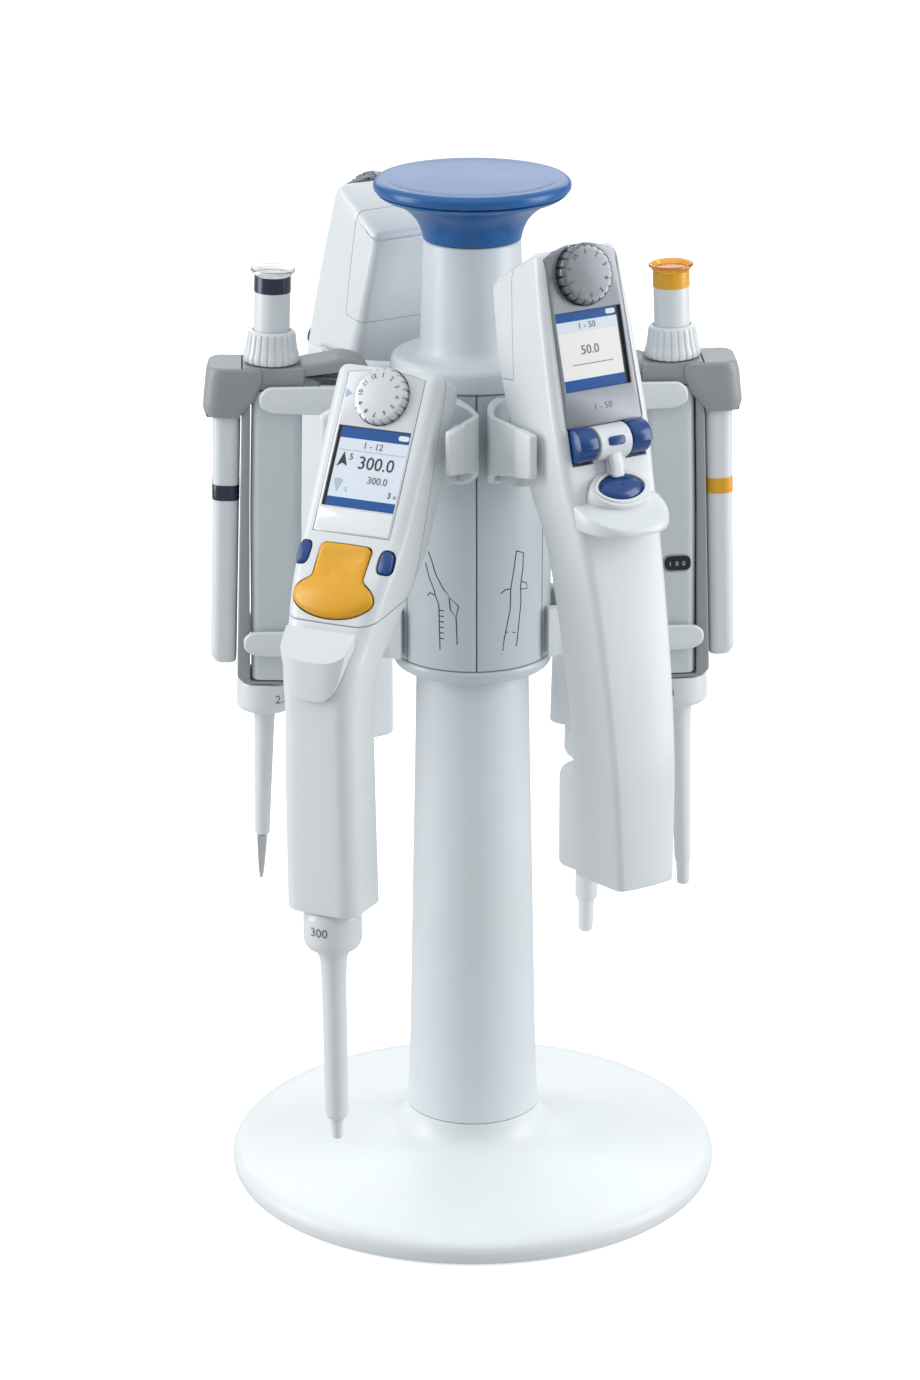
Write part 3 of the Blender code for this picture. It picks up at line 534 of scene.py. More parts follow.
def fork():
    """Two pairs of prongs with the bars that the pipette's hook and back rest on."""
    upper = [(30.9, 326.5), (58, 326.2), (78.5, 327), (83.4, 329.4), (83.6, 334.4),
             (80.4, 337.6), (30.9, 337.6)]
    lower = [(30.9, 226.5), (60, 226.5), (87, 227.6), (91.4, 230.4), (91.4, 235.2),
             (88.4, 237.6), (67, 237.6), (57, 246.5), (30.9, 246.5)]
    pieces = []
    for points in (upper, lower):
        rounded = fillet(points, 4, 6)
        pieces += [sides(rounded, 12.05, 14.9, 1.1), sides(rounded, -14.9, -12.05, 1.1)]
    pieces.append(sides(fillet(box(46, 60, 327, 337), 1), -12.6, 12.6, 0.5))
    pieces.append(sides(fillet(box(56, 62, 228, 240), 1), -12.6, 12.6, 0.5))
    root = fillet([(28.9, 18.5), (34, 16.2), (42, 14.9), (42, 12.05), (28.9, 12.05)], 1)
    for low, high in ((326.5, 337.6), (226.5, 246.5)):
        for flip in (1, -1):
            outline = [(x, y * flip) for x, y in root]
            pieces.append(slab(outline, low, high, None, 0.6, True))
    return merge(*pieces)


def cheek(side, tip, spread):
    """One side of a cradle.  Path: x, y, thickness, lower edge, upper edge."""
    path = ((30.6, 6, 5.4, 303.6, 337), (36, 13.4 + spread / 4, 4, 304.6, 337),
            (44 - spread, 20.2 + spread / 2, 2.8, 308.6, 336.8),
            (52.5 - 2 * spread, 24 + spread, 2.5, 313.4, 336.6),
            (tip - 9.6, 24.4 + spread, 2.5, 317.2, 336.4),
            (tip - 9, 24.75 + spread, 3.4, 317.3, 336.5),
            (tip - 8.2, 25 + spread, 3.8, 317.5, 336.6),
            (tip, 25 + spread, 3.8, 319, 336.2))
    rows = smooth_rows(path, 1.5)
    for step in range(1, 6):
        reach, shrink = 1.6 * sin(step * pi / 10), 1.6 * (1 - cos(step * pi / 10))
        x, y, thick, low, high = path[-1]
        rows.append((x + reach, y, thick - 2 * shrink, low + shrink, high - shrink))
    rings = []
    for index, (x, y, thick, low, high) in enumerate(rows):
        a, b = rows[max(index - 1, 0)], rows[min(index + 1, len(rows) - 1)]
        along = Vector((b[0] - a[0], b[1] - a[1])).normalized()
        half = max(thick / 2, 0.25)
        ring = []
        for u, z in fillet(box(-half, half, low, high), min(1.1, half * 0.9), 4):
            ring.append((x - along.y * u, side * (y + along.x * u), z))
        rings.append(ring)
    return skin(rings)


def cradle(tip, spread):
    lip = [(30.9, 13.3), (47.6, 13.3), (50.6, 10.3), (50.6, -10.3), (47.6, -13.3),
           (30.9, -13.3), (30.9, -11), (44.6, -11), (44.6, 11), (30.9, 11)]
    bridge = slab(fillet(lip, 2.4), 306, 315, None, 0.7, True)
    return merge(cheek(1, tip, spread), cheek(-1, tip, spread), bridge)


def pictogram(lines):
    """A thin line drawing of a tool, wrapped round the hub."""
    size, middle, lift = 1.15, 251.2, 2.6
    strokes = [stroke([(x * size, middle + lift + (z - middle) * size) for x, z in points],
                      0.42, None, 0.06) for points in lines]
    return wrap(merge(*strokes), 31.2)


RACK_SIGN = (
    [(-4.2, 268.4), (-2.6, 264.6), (-1.4, 260.8), (1.4, 256), (4.2, 252.6), (6.9, 250),
     (6, 246.2), (4, 248.6), (3.6, 252.8)],
    [(-5.4, 264.2), (-4, 259.4), (-1.8, 254.6), (-1.6, 253.2)],
    [(-4.6, 252.6), (-3.6, 253.8), (-1.6, 253.2), (-0.2, 250), (0.2, 234), (6.4, 236.6),
     (6, 246.2)],
    *[[(0.1, z), (1.7, z)] for z in (248, 246, 244, 242, 240, 238)])
TOOL_SIGN = (
    [(1.6, 268.6), (4.6, 267.4), (4.4, 262), (3.4, 255.8), (3.6, 250), (1.8, 234.6),
     (-3.6, 233.8), (-3, 238), (-0.8, 248), (-0.6, 255.4), (0.6, 262), (1.6, 268.6)],
    [(-4.4, 254.2), (-2.6, 255.4), (-0.6, 255.4)],
    [(3.5, 257.4), (6, 256.4), (6.4, 254.2), (3.7, 254.6)],
    [(-2.6, 240.2), (1.2, 239.4)])


# -------------------- shared details

def knurled_dial(radius, high, notches, matrix, depth=0.75):
    """Selector knob with finger notches in its rim."""
    def rim(r, height, angle):
        if r < radius * 0.9:
            return r
        return r - depth * max(0, cos(notches * angle)) ** 6
    profile = smooth_rows([(radius - 0.5, -1.8), (radius, -1.2), (radius, high - 1.5),
                           (radius - 0.5, high - 0.5), (radius - 1.5, high - 0.1),
                           (radius - 2.6, high)], 0.5)
    return lathe([(0, -1.8)] + profile + [(0, high + 0.15)], notches * 12, matrix, rim)


def dial_figures(radius, high, matrix, count, size):
    marks = []
    for index in range(count):
        spin = matrix @ turn(90 - 360 * index / count, "Z")
        spot = spin @ move(radius, 0, high) @ turn(-90, "Z")
        marks.append(text(str(index + 1), size, spot, 0.08))
    return merge(*marks)


def on_screen(face, figures, outlines=()):
    """Figures (words, size, across, up) and outlined marks drawn on a display."""
    marks = [text(words, size, face @ move(x, y, -0.5), 0.06) for words, size, x, y in figures]
    return merge(*marks, *[slab(outline, -0.6, -0.44, face, 0) for outline in outlines])


# -------------------- electronic pipette

E_FACE = face_frame(85, 320, 29.5)
E_DIAL = E_FACE @ move(0, 29.6)
ROCKER_FACE = face_frame(108, 286, 35.3)
PIPETTE_ROWS = (
    (129.5, 157.7, 26, 30, 0, 6.5, 6.5, 0.8), (129.5, 205, 25.2, 29.8, 0, 6.5, 6.5, 0.8),
    (129.5, 232, 25, 30, 0, 6.5, 7, 0.8), (129.3, 246, 26.6, 31.2, 2, 6.8, 8, 0.8),
    (128, 254, 27.8, 33, 5, 7.2, 9, 0.8), (122.8, 263, 27, 34.8, 14, 7, 9, 0.6),
    (117.4, 271.3, 26.8, 37, 26, 6, 9, 0.4), (114.3, 276.6, 26.5, 38.4, 29, 5.4, 9, 0.3),
    (109.6, 283.8, 26.5, 40.4, 31, 5, 9, 0.25), (102.3, 293, 27, 42.8, 31, 4.6, 9, 0.2),
    (97.9, 298.2, 27.2, 43.6, 30, 4.4, 9, 0.15), (92.1, 307.6, 27.4, 44.4, 29.5, 4.4, 9, 0.1),
    (77.1, 334, 24.6, 45, 29.5, 4.4, 9, 0.1), (69.2, 348, 22.6, 45.2, 29.5, 4.4, 8, 0.1),
    (66.3, 353.2, 22.4, 44.8, 31, 4.4, 8, 0.1))
# The grip stands proud of the handle, and fades into it towards the top.
GRIP_ROWS = [
    (129.5 + rise, z, depth + 2 * rise, width + 2 * rise, 0, 6.5, back, 0.8)
    for z, depth, width, back, rise in (
        (157.7, 26, 30, 6.5, 0.5), (185, 25.4, 29.9, 6.5, 0.5),
        (205, 25.2, 29.8, 6.5, 0.42), (222, 25.1, 29.9, 7, 0.2),
        (236, 25.2, 30.2, 7, -0.25))]
GRIP_EDGE = ((117, 240), (118.4, 226), (120.8, 205), (123.4, 185), (125.6, 168),
             (126.6, 150), (140, 150), (140, 240))
SHELL_SPLIT = ((145, 265.4), (88.7, 275.8), (62.3, 349.4), (56, 367))


def pipette_body(grow=0):
    return body(PIPETTE_ROWS, 0.6, 3.6, grow)


def split_tool(offset):
    line = [(x - offset, z - offset) for x, z in SHELL_SPLIT]
    return side_block(line + [(145, 380)])


def rocker_outline(grow=0):
    top, shoulder, lobe_y, waist = 12.7 + grow, 10.9 + grow, -8.3, -1
    points = [(-shoulder + 0.2, waist), (-shoulder, top - 1.6), (-shoulder + 1.6, top),
              (0, top + 0.15), (shoulder - 1.6, top), (shoulder, top - 1.6),
              (shoulder - 0.2, waist)]
    for step in range(31):
        angle = radians(42 - 264 * step / 30)
        points.append(((17 + grow) * cos(angle), lobe_y + (8.6 + grow) * sin(angle)))
    return fillet(points, 1.5, 3)[::-1]


def rocker_height(x, y):
    """Hollow tongue above a raised oval lobe."""
    lobe = 1 - (x / 17.4) ** 2 - ((y + 8.3) / 9) ** 2
    bulge = 2.3 * max(lobe, 0) ** 0.8
    hollow = 0.9 * max(0, 1 - ((y - 4.5) / 6.5) ** 2) * max(0, 1 - (x / 13) ** 2)
    return 0.5 + max(bulge, 0) - hollow * (0 if lobe > 0 else 1)


def rocker():
    outline = rocker_outline(-0.25)
    rings = [[(x, y, -3) for x, y in outline], [(x, y, -0.2) for x, y in outline]]
    for scale in (0.985, 0.96, 0.92, 0.86, 0.78, 0.68, 0.57, 0.45, 0.33, 0.2, 0.08):
        lift = min(1, (1 - scale) / 0.12)
        lift = 1 - (1 - lift) ** 2
        ring = []
        for x, y in outline:
            u, v = x * scale, -4 + (y + 4) * scale
            ring.append((u, v, -0.2 + (rocker_height(u, v) + 0.2) * lift))
        rings.append(ring)
    return skin(rings, ROCKER_FACE)


def key_shape(side, grow, low, high, edge=0):
    return slab(pill(2.75 + grow, 4.65 + grow, side * 17.4, 7.7, squareness=3), low, high,
                ROCKER_FACE, edge)


def insert_outline(grow=0):
    half, low, shoulder, crown = 16.3 + grow, -24.2 - grow, 37.8, 39.8 + grow
    points = [(half, low), (half, shoulder)]
    points += [(half * k / 5, shoulder + (crown - shoulder) * (1 - (k / 5) ** 2))
               for k in (4, 3, 2, 1, 0, -1, -2, -3, -4)]
    return points + [(-half, shoulder), (-half, low)]


def ejector_button():
    """Thumb cap: a facet in line with the face above a bowed upright front."""
    rows = ((131.9, 243, 27, 33.6, 0, 12, 9, 2.2), (132.2, 252, 29, 36, 0, 12, 9, 2.2),
            (132.2, 262, 30, 37.4, 0, 12, 9, 2.2), (131.6, 276, 30, 38.6, 0, 12, 9, 2.2))
    button = body(rows, 0.8, 0.8)
    cut(button, pipette_body(GAP))
    front = fillet([(121.8, 236), (140, 236), (140, 251.8), (121.8, 268.8)], 0.2)
    combine(button, side_block(front), "INTERSECT")
    hem = [(2 * k, 243.8 + 10.5 * (k / 6) ** 4) for k in range(-12, 13)]
    below = slab([(-24, 225), (24, 225)] + hem[::-1], 80, 150, FRONT, 0)
    return cut(button, below)


def device_hook(root_x):
    low = 315 + GAP
    outline = [(root_x, low + 9), (root_x, low + 1), (root_x - 4, low), (44.4, low),
               (44.1, low - 1.5), (43.8, low - 7), (41.8, low - 9), (39.8, low - 7),
               (39.7, low + 0.5), (41.8, low + 4.4), (46, low + 6.2), (root_x - 4, low + 6.8)]
    return sides(fillet(outline, 1.2), -8.5, 8.5, 1)


def pipette_shells():
    rocker_bay = [slab(rocker_outline(0.3), -5, 9, ROCKER_FACE, 0) for _ in range(2)]
    front = combine(pipette_body(), split_tool(0), "INTERSECT")
    cut(front, slab(insert_outline(0.22), -1, 6, E_FACE, 0),
        lathe(disc(11.5, -2.4, 9), 64, E_DIAL), rocker_bay[0],
        key_shape(-1, 0.45, -4.6, 9), key_shape(1, 0.45, -4.6, 9))
    rear = cut(pipette_body(), split_tool(GAP), rocker_bay[1])
    grip = combine(body(GRIP_ROWS, 0.5, 0.1), side_block(GRIP_EDGE[::-1]), "INTERSECT")
    return front, merge(rear, device_hook(64), grip)


def pipette_display(figures):
    """The bright insert with its glass, screen and marks."""
    insert = slab(insert_outline(), -0.9, 0.12, E_FACE, 0.12)
    cut(insert, lathe(disc(11.35, -3, 4), 64, E_DIAL),
        slab(fillet(box(-15.4, 15.4, -14.2, 17.2), 0.3), -0.75, 4, E_FACE, 0))
    glass = slab(box(-15.3, 15.3, -14.1, 17.1), -0.76, -0.62, E_FACE, 0)
    screen = slab(box(-14.1, 15.2, -10.4, 12.6), -0.64, -0.58, E_FACE, 0)
    bars = merge(*[slab(box(-14.1, 15.2, low, high), -0.64, -0.56, E_FACE, 0)
                   for low, high in ((12.6, 16.9), (-14, -10.4))])
    blank = slab(fillet(box(-15.6, 15.4, -23.6, -14.9), 0.4), 0, 0.16, E_FACE, 0.03)
    arrow = [(-13, 1.4), (-10.9, 7.2), (-8.8, 1.8), (-10.9, 2.8)]
    pale_arrow = [(-12.8, -3.4), (-10.9, -8.4), (-8.9, -3.8), (-10.9, -3)]
    dark = on_screen(E_FACE, (
        (figures, 7, 3.4, 3.4), ("5", 3.4, -7.6, 5.4), ("3", 3.2, 11.6, -7.6)), [arrow])
    pale = on_screen(E_FACE, [("5", 2.4, -7, -7.2)], (pale_arrow, box(-13.6, 14.8, 7.9, 8.1)))
    grey = on_screen(E_FACE, (
        (figures, 3.9, 5.4, -2.8), ("1 - 12", 3.6, 0.5, 10.2), ("x", 2.4, 14, -7.8)))
    cell = slab(pill(2.2, 1, 12.6, 14.8, 24, 4), -0.6, -0.5, E_FACE, 0)
    marker = slab([(-15.6, 31.4), (-12.6, 29.6), (-15.6, 27.8)], 0, 0.17, E_FACE, 0)
    return {
        "insert": (insert, "", SILVER), "glass": (glass, "", BLACK_AND_PAINTED_SHADE),
        "screen": (screen, "", SCREEN), "screen_bars": (bars, "", SCREEN_BLUE),
        "blank": (blank, "", BLANK), "figures": (dark, "", INK),
        "figures_pale": (pale, "", INK_PALE), "figures_grey": (grey, "", INK_GREY),
        "battery_sign": (cell, "", BLANK), "marker": (marker, "", INK_PALE)}


def pipette_nose(cone_radius, shaft_radius, cone_tip, cone_step):
    """Collar with the ejector sleeve, and the cone that stands out of it."""
    axis = move(118)
    collar = softened([(0, 156.6), (9.8, 156.6), (11.2, 153.8), (11.25, 143), (9.7, 140.3),
                       (6.5, 138.9), (5.2, 135), (shaft_radius + 0.25, 125),
                       (shaft_radius, cone_step + 1.6), (shaft_radius - 0.8, cone_step),
                       (0, cone_step)], 1.3)
    cone = softened([(0, cone_step + 3), (cone_radius, cone_step + 3),
                     (cone_radius, cone_step - 1), (cone_radius - 0.3, cone_tip + 0.8),
                     (cone_radius - 0.9, cone_tip), (0.9, cone_tip),
                     (0.8, cone_tip + 3), (0, cone_tip + 3)], 0.3)
    number = wrap(text("300", 5, None, 0.1), 11.25)
    number.data.transform(move(118, 0, 149.2))
    return {
        "ejector_sleeve": (lathe(collar, 96, axis), "ejector", WHITE, "ejector_sleeve"),
        "collar_number": (number, "ejector", INK_GREY),
        "nose_cone": (lathe(cone, 64, axis), "", WHITE, "nose_cone")}


def electronic_pipette(figures, *nose_sizes):
    front, rear = pipette_shells()
    # Black floors in the rocker, key and dial pockets paint the shade inside those recesses.
    wells = merge(slab(rocker_outline(0.2), -5.4, -4.6, ROCKER_FACE, 0),
                  key_shape(-1, 0.4, -4.9, -4.3), key_shape(1, 0.4, -4.9, -4.3),
                  lathe(disc(11.4, -2.35, -1.3), 64, E_DIAL))
    keys = [key_shape(side, -0.1, -3.5, -0.5, 0.9) for side in (-1, 1)]
    return {
        "front_shell": (front, "", WHITE, "front_shell"),
        "rear_shell": (rear, "", WHITE, "rear_shell"),
        **pipette_display(figures),
        "wells": (wells, "", BLACK_AND_PAINTED_SHADE),
        "dial": (knurled_dial(11, 3.3, 20, E_DIAL), "selector", SILVER, "dial"),
        "dial_figures": (dial_figures(7.7, 3.42, E_DIAL, 12, 2.5), "selector", INK_GREY),
        "left_key": (keys[0], "left_button", KEY_BLUE, "left_key"),
        "right_key": (keys[1], "right_button", KEY_BLUE, "right_key"),
        "rocker": (rocker(), "rocker_lever", ORANGE, "rocker"),
        "ejector_button": (ejector_button(), "ejector", WHITE, "ejector_button"),
        **pipette_nose(*nose_sizes)}


# -------------------- electronic dispenser

D_FACE = face_frame(83.3, 365, 15.8)
D_DIAL = D_FACE @ move(0, 29.6)
TRIGGER_FACE = face_frame(101.2, 316.4, 52)
DISPENSER_ROWS = (
    (124, 164.6, 35, 26.2, 5, 2.6, 6, 1.6), (122.2, 205, 33.7, 29.2, 1, 2.6, 7, 1.6),
    (118.6, 235, 33, 31.4, 3, 2.8, 8, 1.5), (112, 270, 33.4, 34, 5, 3.4, 9, 1.2),
    (104.8, 297, 31.6, 37.4, 8, 4.2, 9, 0.8), (97.2, 316.5, 31.2, 41, 12, 4, 8, 0.3),
    (91.1, 338, 34.5, 42.6, 15.8, 3.6, 6, 0.1), (83.3, 365, 36.4, 41.2, 15.8, 3.4, 4, 0.1),
    (75.6, 392.2, 35.6, 38, 16.6, 3.4, 3.4, 0.1), (74.2, 397.6, 34.8, 37.2, 21, 3.4, 3.2, 0.1),
    (72.6, 401, 34, 36.2, 29, 3.4, 3, 0.1))
COVER = ((30, 347.6), (60.5, 352.6), (56.5, 384), (54.5, 400), (52, 420), (30, 420))


def dispenser_body(grow=0):
    return body(DISPENSER_ROWS, 0.8, 3, grow)


def arched_panel(grow=0):
    half_top, half_low, low, shoulder, crown = 15.6 + grow, 17 + grow, -26.6 - grow, 37, 41.4
    points = [(half_low, low), (half_top, shoulder)]
    for step in range(1, 12):
        across = 1 - 2 * step / 12
        points.append((half_top * across, shoulder + (crown - shoulder) * (1 - across ** 2)))
    return points + [(-half_top, shoulder), (-half_low, low)]


def barrel(profile, steps=48, radius_of=None):
    spin = D_FACE @ move(0, -33.4, 0.4) @ turn(90, "Y")
    return lathe(profile, steps, spin, radius_of)


def ribbed_key(side):
    """Level roller key with a raised upper half."""
    inner, outer = 7.8, 16.3
    profile = [(0, inner), (5.2, inner), (5.8, inner + 0.5), (6.1, inner + 2.4),
               (6.2, outer - 1.2), (5.8, outer - 0.3), (5.2, outer), (0, outer)]
    def rib(r, height, angle):
        upper = cos(angle - pi * 0.72)
        return r + (0.8 if upper > 0.35 and r > 5 else 0)
    return barrel([(r, h * side) for r, h in profile], 72, rib)


def hood():
    """Visor: an upright wall in plan, capped by a slope that falls to the lip."""
    bottom, centre_x = 303.2, 97
    # Inset from the outline, then a level above zero or, in the last rows, above the slope.
    steps = [(1.2, bottom, 0), (0.35, bottom + 0.35, 0), (0, bottom + 1.1, 0),
             (0, -1.3, 1), (0.4, -0.45, 1), (1.4, 0, 1), (4, 0.15, 1), (7, 0.7, 1),
             (9.4, 1.7, 1)]
    rings = []
    for shrink, level, on_top in steps:
        ring = []
        for u, v in pill(21 - shrink * 1.2, 18.9 - shrink * 0.9, count=96, squareness=2.5):
            top = 312.6 - 0.30 * u - 0.002 * u * abs(u)
            ring.append((centre_x + u, v, (top if on_top else -0.05 * u) + level))
        rings.append(ring)
    shape = skin(rings)
    cut(shape, dispenser_body(GAP), slab(box(60, 91.5, 290, 340), -30, 30, SIDE, 0))
    boss = slab(eye_outline(3), -7.5, 1.2, TRIGGER_FACE, 0.6)
    rim = slab(eye_outline(1.5), -1.6, 1.9, TRIGGER_FACE, 0.4)
    cut(boss, dispenser_body(GAP), slab(eye_outline(GAP), -9, 14, TRIGGER_FACE, 0))
    cut(rim, slab(eye_outline(0.3), -9, 14, TRIGGER_FACE, 0))
    cut(shape, slab(eye_outline(GAP), -6, 14, TRIGGER_FACE, 0))
    slot = slab(fillet(box(91, 94.6, 304.4, 311.4), 0.5), -30, 30, SIDE, 0)
    return merge(cut(shape, slot), boss, rim)


def eye_outline(grow=0):
    points = []
    for step in range(64):
        angle = 2 * pi * (step + 0.5) / 64
        u, v = cos(angle), sin(angle)
        points.append(((10 + grow) * u, (5.8 + grow) * abs(v) ** 1.15 * (1 if v > 0 else -1)))
    return points


def trigger():
    rings = [[(x, y, -2.4) for x, y in eye_outline(-0.1)]]
    for step in range(9):
        angle = step * pi / 16
        scale, out = cos(angle), 0.8 + 2.4 * sin(angle)
        rings.append([(x * scale, y * scale, out) for x, y in eye_outline(-0.1)])
    rings.append([(x * 0.05, y * 0.05, 3.2) for x, y in eye_outline()])
    return skin(rings, TRIGGER_FACE)


def dispenser_shells():
    housing = dispenser_body()
    cut(housing, slab(arched_panel(0.25), -2.2, 9, D_FACE, 0),
        *[barrel(disc(7.4, side * 7.3, side * 16.8)) for side in (-1, 1)])
    cover = combine(dispenser_body(), side_block(COVER[::-1]), "INTERSECT")
    cut(housing, side_block(inset(COVER[::-1], -0.3)))
    block = fillet([(79.2, 162.6), (81.4, 160.9), (97, 162.4), (97, 207), (88.6, 207),
                    (82, 203.6), (79.2, 200)], 2)
    middle = barrel([(0, -7.1), (6.3, -7.1), (6.6, -6.7), (6.6, 6.7), (6.3, 7.1), (0, 7.1)], 64)
    strut = fillet([(94.6, 331.6), (98.9, 330.2), (100.4, 326.4), (101.2, 321),
                    (95.6, 320.4)], 1)
    housing = merge(housing, sides(block, -12.6, 12.6, 2.4), device_hook(72), middle,
                    sides(strut, -2.7, 2.7, 1.2))
    return housing, cover


def dispenser_display():
    """The metallic panel with its glass, screen and marks."""
    panel = slab(arched_panel(), -1.8, 0.35, D_FACE, 0.35)
    cut(panel, lathe(disc(12, -3, 4), 64, D_DIAL),
        slab(fillet(box(-15, 14.6, -13.2, 16.4), 0.4), -0.9, 4, D_FACE, 0))
    glass = slab(box(-14.9, 14.5, -13.1, 16.3), -0.95, -0.66, D_FACE, 0)
    screen = slab(box(-14.9, 12.8, -8.9, 12.8), -0.68, -0.58, D_FACE, 0)
    title = slab(box(-14.9, 12.8, 8.6, 12.8), -0.6, -0.55, D_FACE, 0)
    bars = merge(*[slab(box(-14.9, 12.8, low, high), -0.68, -0.56, D_FACE, 0)
                   for low, high in ((12.8, 16.3), (-13.1, -8.9))])
    cell = slab(pill(2.1, 1, 10.2, 14.6, 24, 4), -0.6, -0.5, D_FACE, 0)
    number = on_screen(D_FACE, (("50.0", 4.8, -1, 1.6), ("1 - 50", 3.4, -1, 10.7)),
                       [box(-9.5, 8.6, -3.6, -3.35)])
    range_mark = text("1 - 50", 3.6, D_FACE @ move(0.5, -20, 0.37), 0.05)
    marker = slab([(-15.2, 31.2), (-12.9, 29.6), (-15.2, 28)], 0.3, 0.42, D_FACE, 0)
    rails = [stroke([(s * 15.9, 36), (s * 17.3, -26)], 0.3, D_FACE @ move(0, 0, 0.4), 0.05)
             for s in (-1, 1)]
    return {
        "front_panel": (panel, "", METAL_GREY, "front_panel"),
        "glass": (glass, "", BLACK_AND_PAINTED_SHADE), "screen": (screen, "", SCREEN_WHITE),
        "screen_title": (title, "", SCREEN), "screen_bars": (bars, "", SCREEN_BLUE),
        "battery_sign": (cell, "", BLANK), "figures": (number, "", INK_GREY),
        "range_mark": (range_mark, "", INK_GREY),
        "marker": (merge(marker, *rails), "", INK_GREY)}


def electronic_dispenser():
    housing, cover = dispenser_shells()
    menu_key = slab(pill(3.7, 1.75, 0, -33.2, 32, 4.5), 5.6, 7.5, D_FACE, 0.35)
    # Black liners in the roller-key pockets, and a black slot near the top of the housing,
    # paint the shade inside those openings.
    wells = merge(*[barrel(disc(7.3, side * 7.35, side * 16.75)) for side in (-1, 1)])
    cut(wells, slab(box(-30, 30, -60, 0), -2.6, 30, D_FACE, 0))
    slot = slab(pill(0.9, 5.2, -9.5, 0, 32, 5), -1.2, 0.3, face_frame(60.2, 398, 120), 0.1)
    return {
        "housing": (housing, "", WHITE, "housing"), "cover": (cover, "", WHITE),
        **dispenser_display(),
        "menu_key": (menu_key, "", KEY_BLUE), "wells": (merge(wells, slot), "", BLACK_AND_PAINTED_SHADE),
        "dial": (knurled_dial(11.6, 4.2, 20, D_DIAL, 0.9), "selector", DIAL_GREY, "dial"),
        "dial_figures": (dial_figures(8.1, 4.32, D_DIAL, 10, 2.6), "selector", INK_GREY),
        "left_key": (ribbed_key(-1), "left_button", KEY_BLUE, "left_key"),
        "right_key": (ribbed_key(1), "right_button", KEY_BLUE, "right_key"),
        "hood": (hood(), "ejector", WHITE, "hood"),
        "trigger": (trigger(), "release", KEY_BLUE, "trigger")}


# -------------------- manual pipette

def upright(rows, low_round, high_round):
    """Row: height, inner x, outer x, half-width, corner radius."""
    full = [(outer, z, outer - inner, 2 * half, 0, corner, corner, 0)
            for z, inner, outer, half, corner in rows]
    return body(full, low_round, high_round)


def manual_frame():
    """Spine, foot and top of the frame, with the finger rest."""
    spine = fillet([(-11.5, 12.9), (8, 12.9), (11.2, 16), (11.2, 142.8), (-13, 142.8),
                    (-13, 133.9), (7.9, 133.9), (7.5, 88), (6.7, 45), (6, 14.3),
                    (-11.5, 14.3)], 0.9)
    rest = [(-10, 143.6), (-10, 137.2), (-20, 138.4), (-29.5, 140.2), (-34, 137.8),
            (-35.8, 132.2), (-37.6, 130.4), (-39.4, 131.8), (-39, 138.8), (-34.8, 145.2),
            (-27, 147.2), (-18, 144.8)]
    frame_piece = cut(sides(spine, -10.5, 10.5, 0.7), lathe(disc(7.4, 131, 150), 64))
    return merge(frame_piece, sides(fillet(rest, 3, 5), -9.6, 9.6, 2))


def control_button(band, clear):
    stem = softened([(0, 175.6), (6.9, 175.6), (7, 168.5), (7, 148.5), (0, 148.5)], 0.3)
    collar = softened([(0, 177.6), (7.15, 177.6), (7.2, 171.2), (0, 171.2)], 0.2)
    flange = smooth_rows([(7.2, 177.65), (7.9, 178.4), (8.5, 179.1), (8.75, 179.7),
                          (8.4, 180.3), (7.8, 180.3), (7.4, 179.8), (7, 179)], 0.4)
    cap = lathe([(0, 177.65)] + flange + [(0, 178.8)])
    return {
        "stem": (lathe(stem), "button", WHITE), "button_band": (lathe(collar), "button", band),
        "button_cap": (cap, "button", clear, "control_button")}


def adjusting_ring():
    def ribs(r, height, angle):
        if r < 8 or height > 154.7:
            return r
        return r - 0.6 * max(0, cos(22 * angle)) ** 3
    wall = smooth_rows([(7.5, 156), (8.6, 155.6), (9.3, 154.6), (9.7, 151.6),
                        (10.2, 148.4), (11, 145.4), (10.9, 143.9), (10.2, 143.3)], 0.7)
    return lathe([(7.35, 155.8)] + wall + [(7.35, 143.3)], 264, None, ribs, loop=True)


def manual_ejector(band):
    cap = upright(((123.4, 8.4, 25.4, 11.2, 5), (126, 7.2, 26.3, 11.9, 6),
                   (131, 3.6, 25.9, 12.3, 6), (138, 1.2, 25.4, 12.3, 6),
                   (141.2, 1.2, 24.6, 12, 6)), 0.8, 1.4)
    cut(cap, slab(box(-20, 11.6, 110, 150), -10.95, 10.95, SIDE, 0))
    sleeve = upright(((21.6, 11.8, 20.4, 7.4, 3.2), (24, 11.6, 21.8, 8.6, 3.6),
                      (88, 11.6, 22.1, 8.9, 3.8), (122.3, 11.6, 22.6, 9.1, 3.8)), 0.8, 0.1)
    belt = upright(((88.6, 11.5, 22.3, 9.1, 3.9), (94.6, 11.5, 22.35, 9.15, 3.9)), 0.1, 0.1)
    # A black step under the cap paints the shade in its parting line.
    step = fillet([(12.2, 122.4), (24.6, 122.4), (25.2, 123.6), (12.2, 123.6)], 0.3)
    return {
        "ejector_cap": (cap, "ejector", GREY, "ejector_cap"),
        "ejector_sleeve": (sleeve, "ejector", WHITE, "ejector_sleeve"),
        "ejector_belt": (belt, "ejector", band),
        "ejector_line": (sides(step, -9, 9, 0.2), "ejector", BLACK_AND_PAINTED_SHADE)}


def volume_window():
    rim = slab(fillet(box(-6.6, 4.6, 57.4, 64.8), 3.2), 10.4, 10.75, SIDE, 0.15)
    lens = slab(fillet(box(-5.9, 4.6, 58.1, 64.1), 2.8), 10.6, 10.85, SIDE, 0.1)
    digits = merge(*[text(digit, 2.6, SIDE @ move(x, 60.8, 10.85), 0.05)
                     for digit, x in (("1", -3.6), ("0", -0.9), ("0", 1.8))])
    return {"window_digits": (digits, "", HANDLE), "window_rim": (rim, "", GREY),
            "window": (lens, "", BLACK_AND_PAINTED_SHADE)}


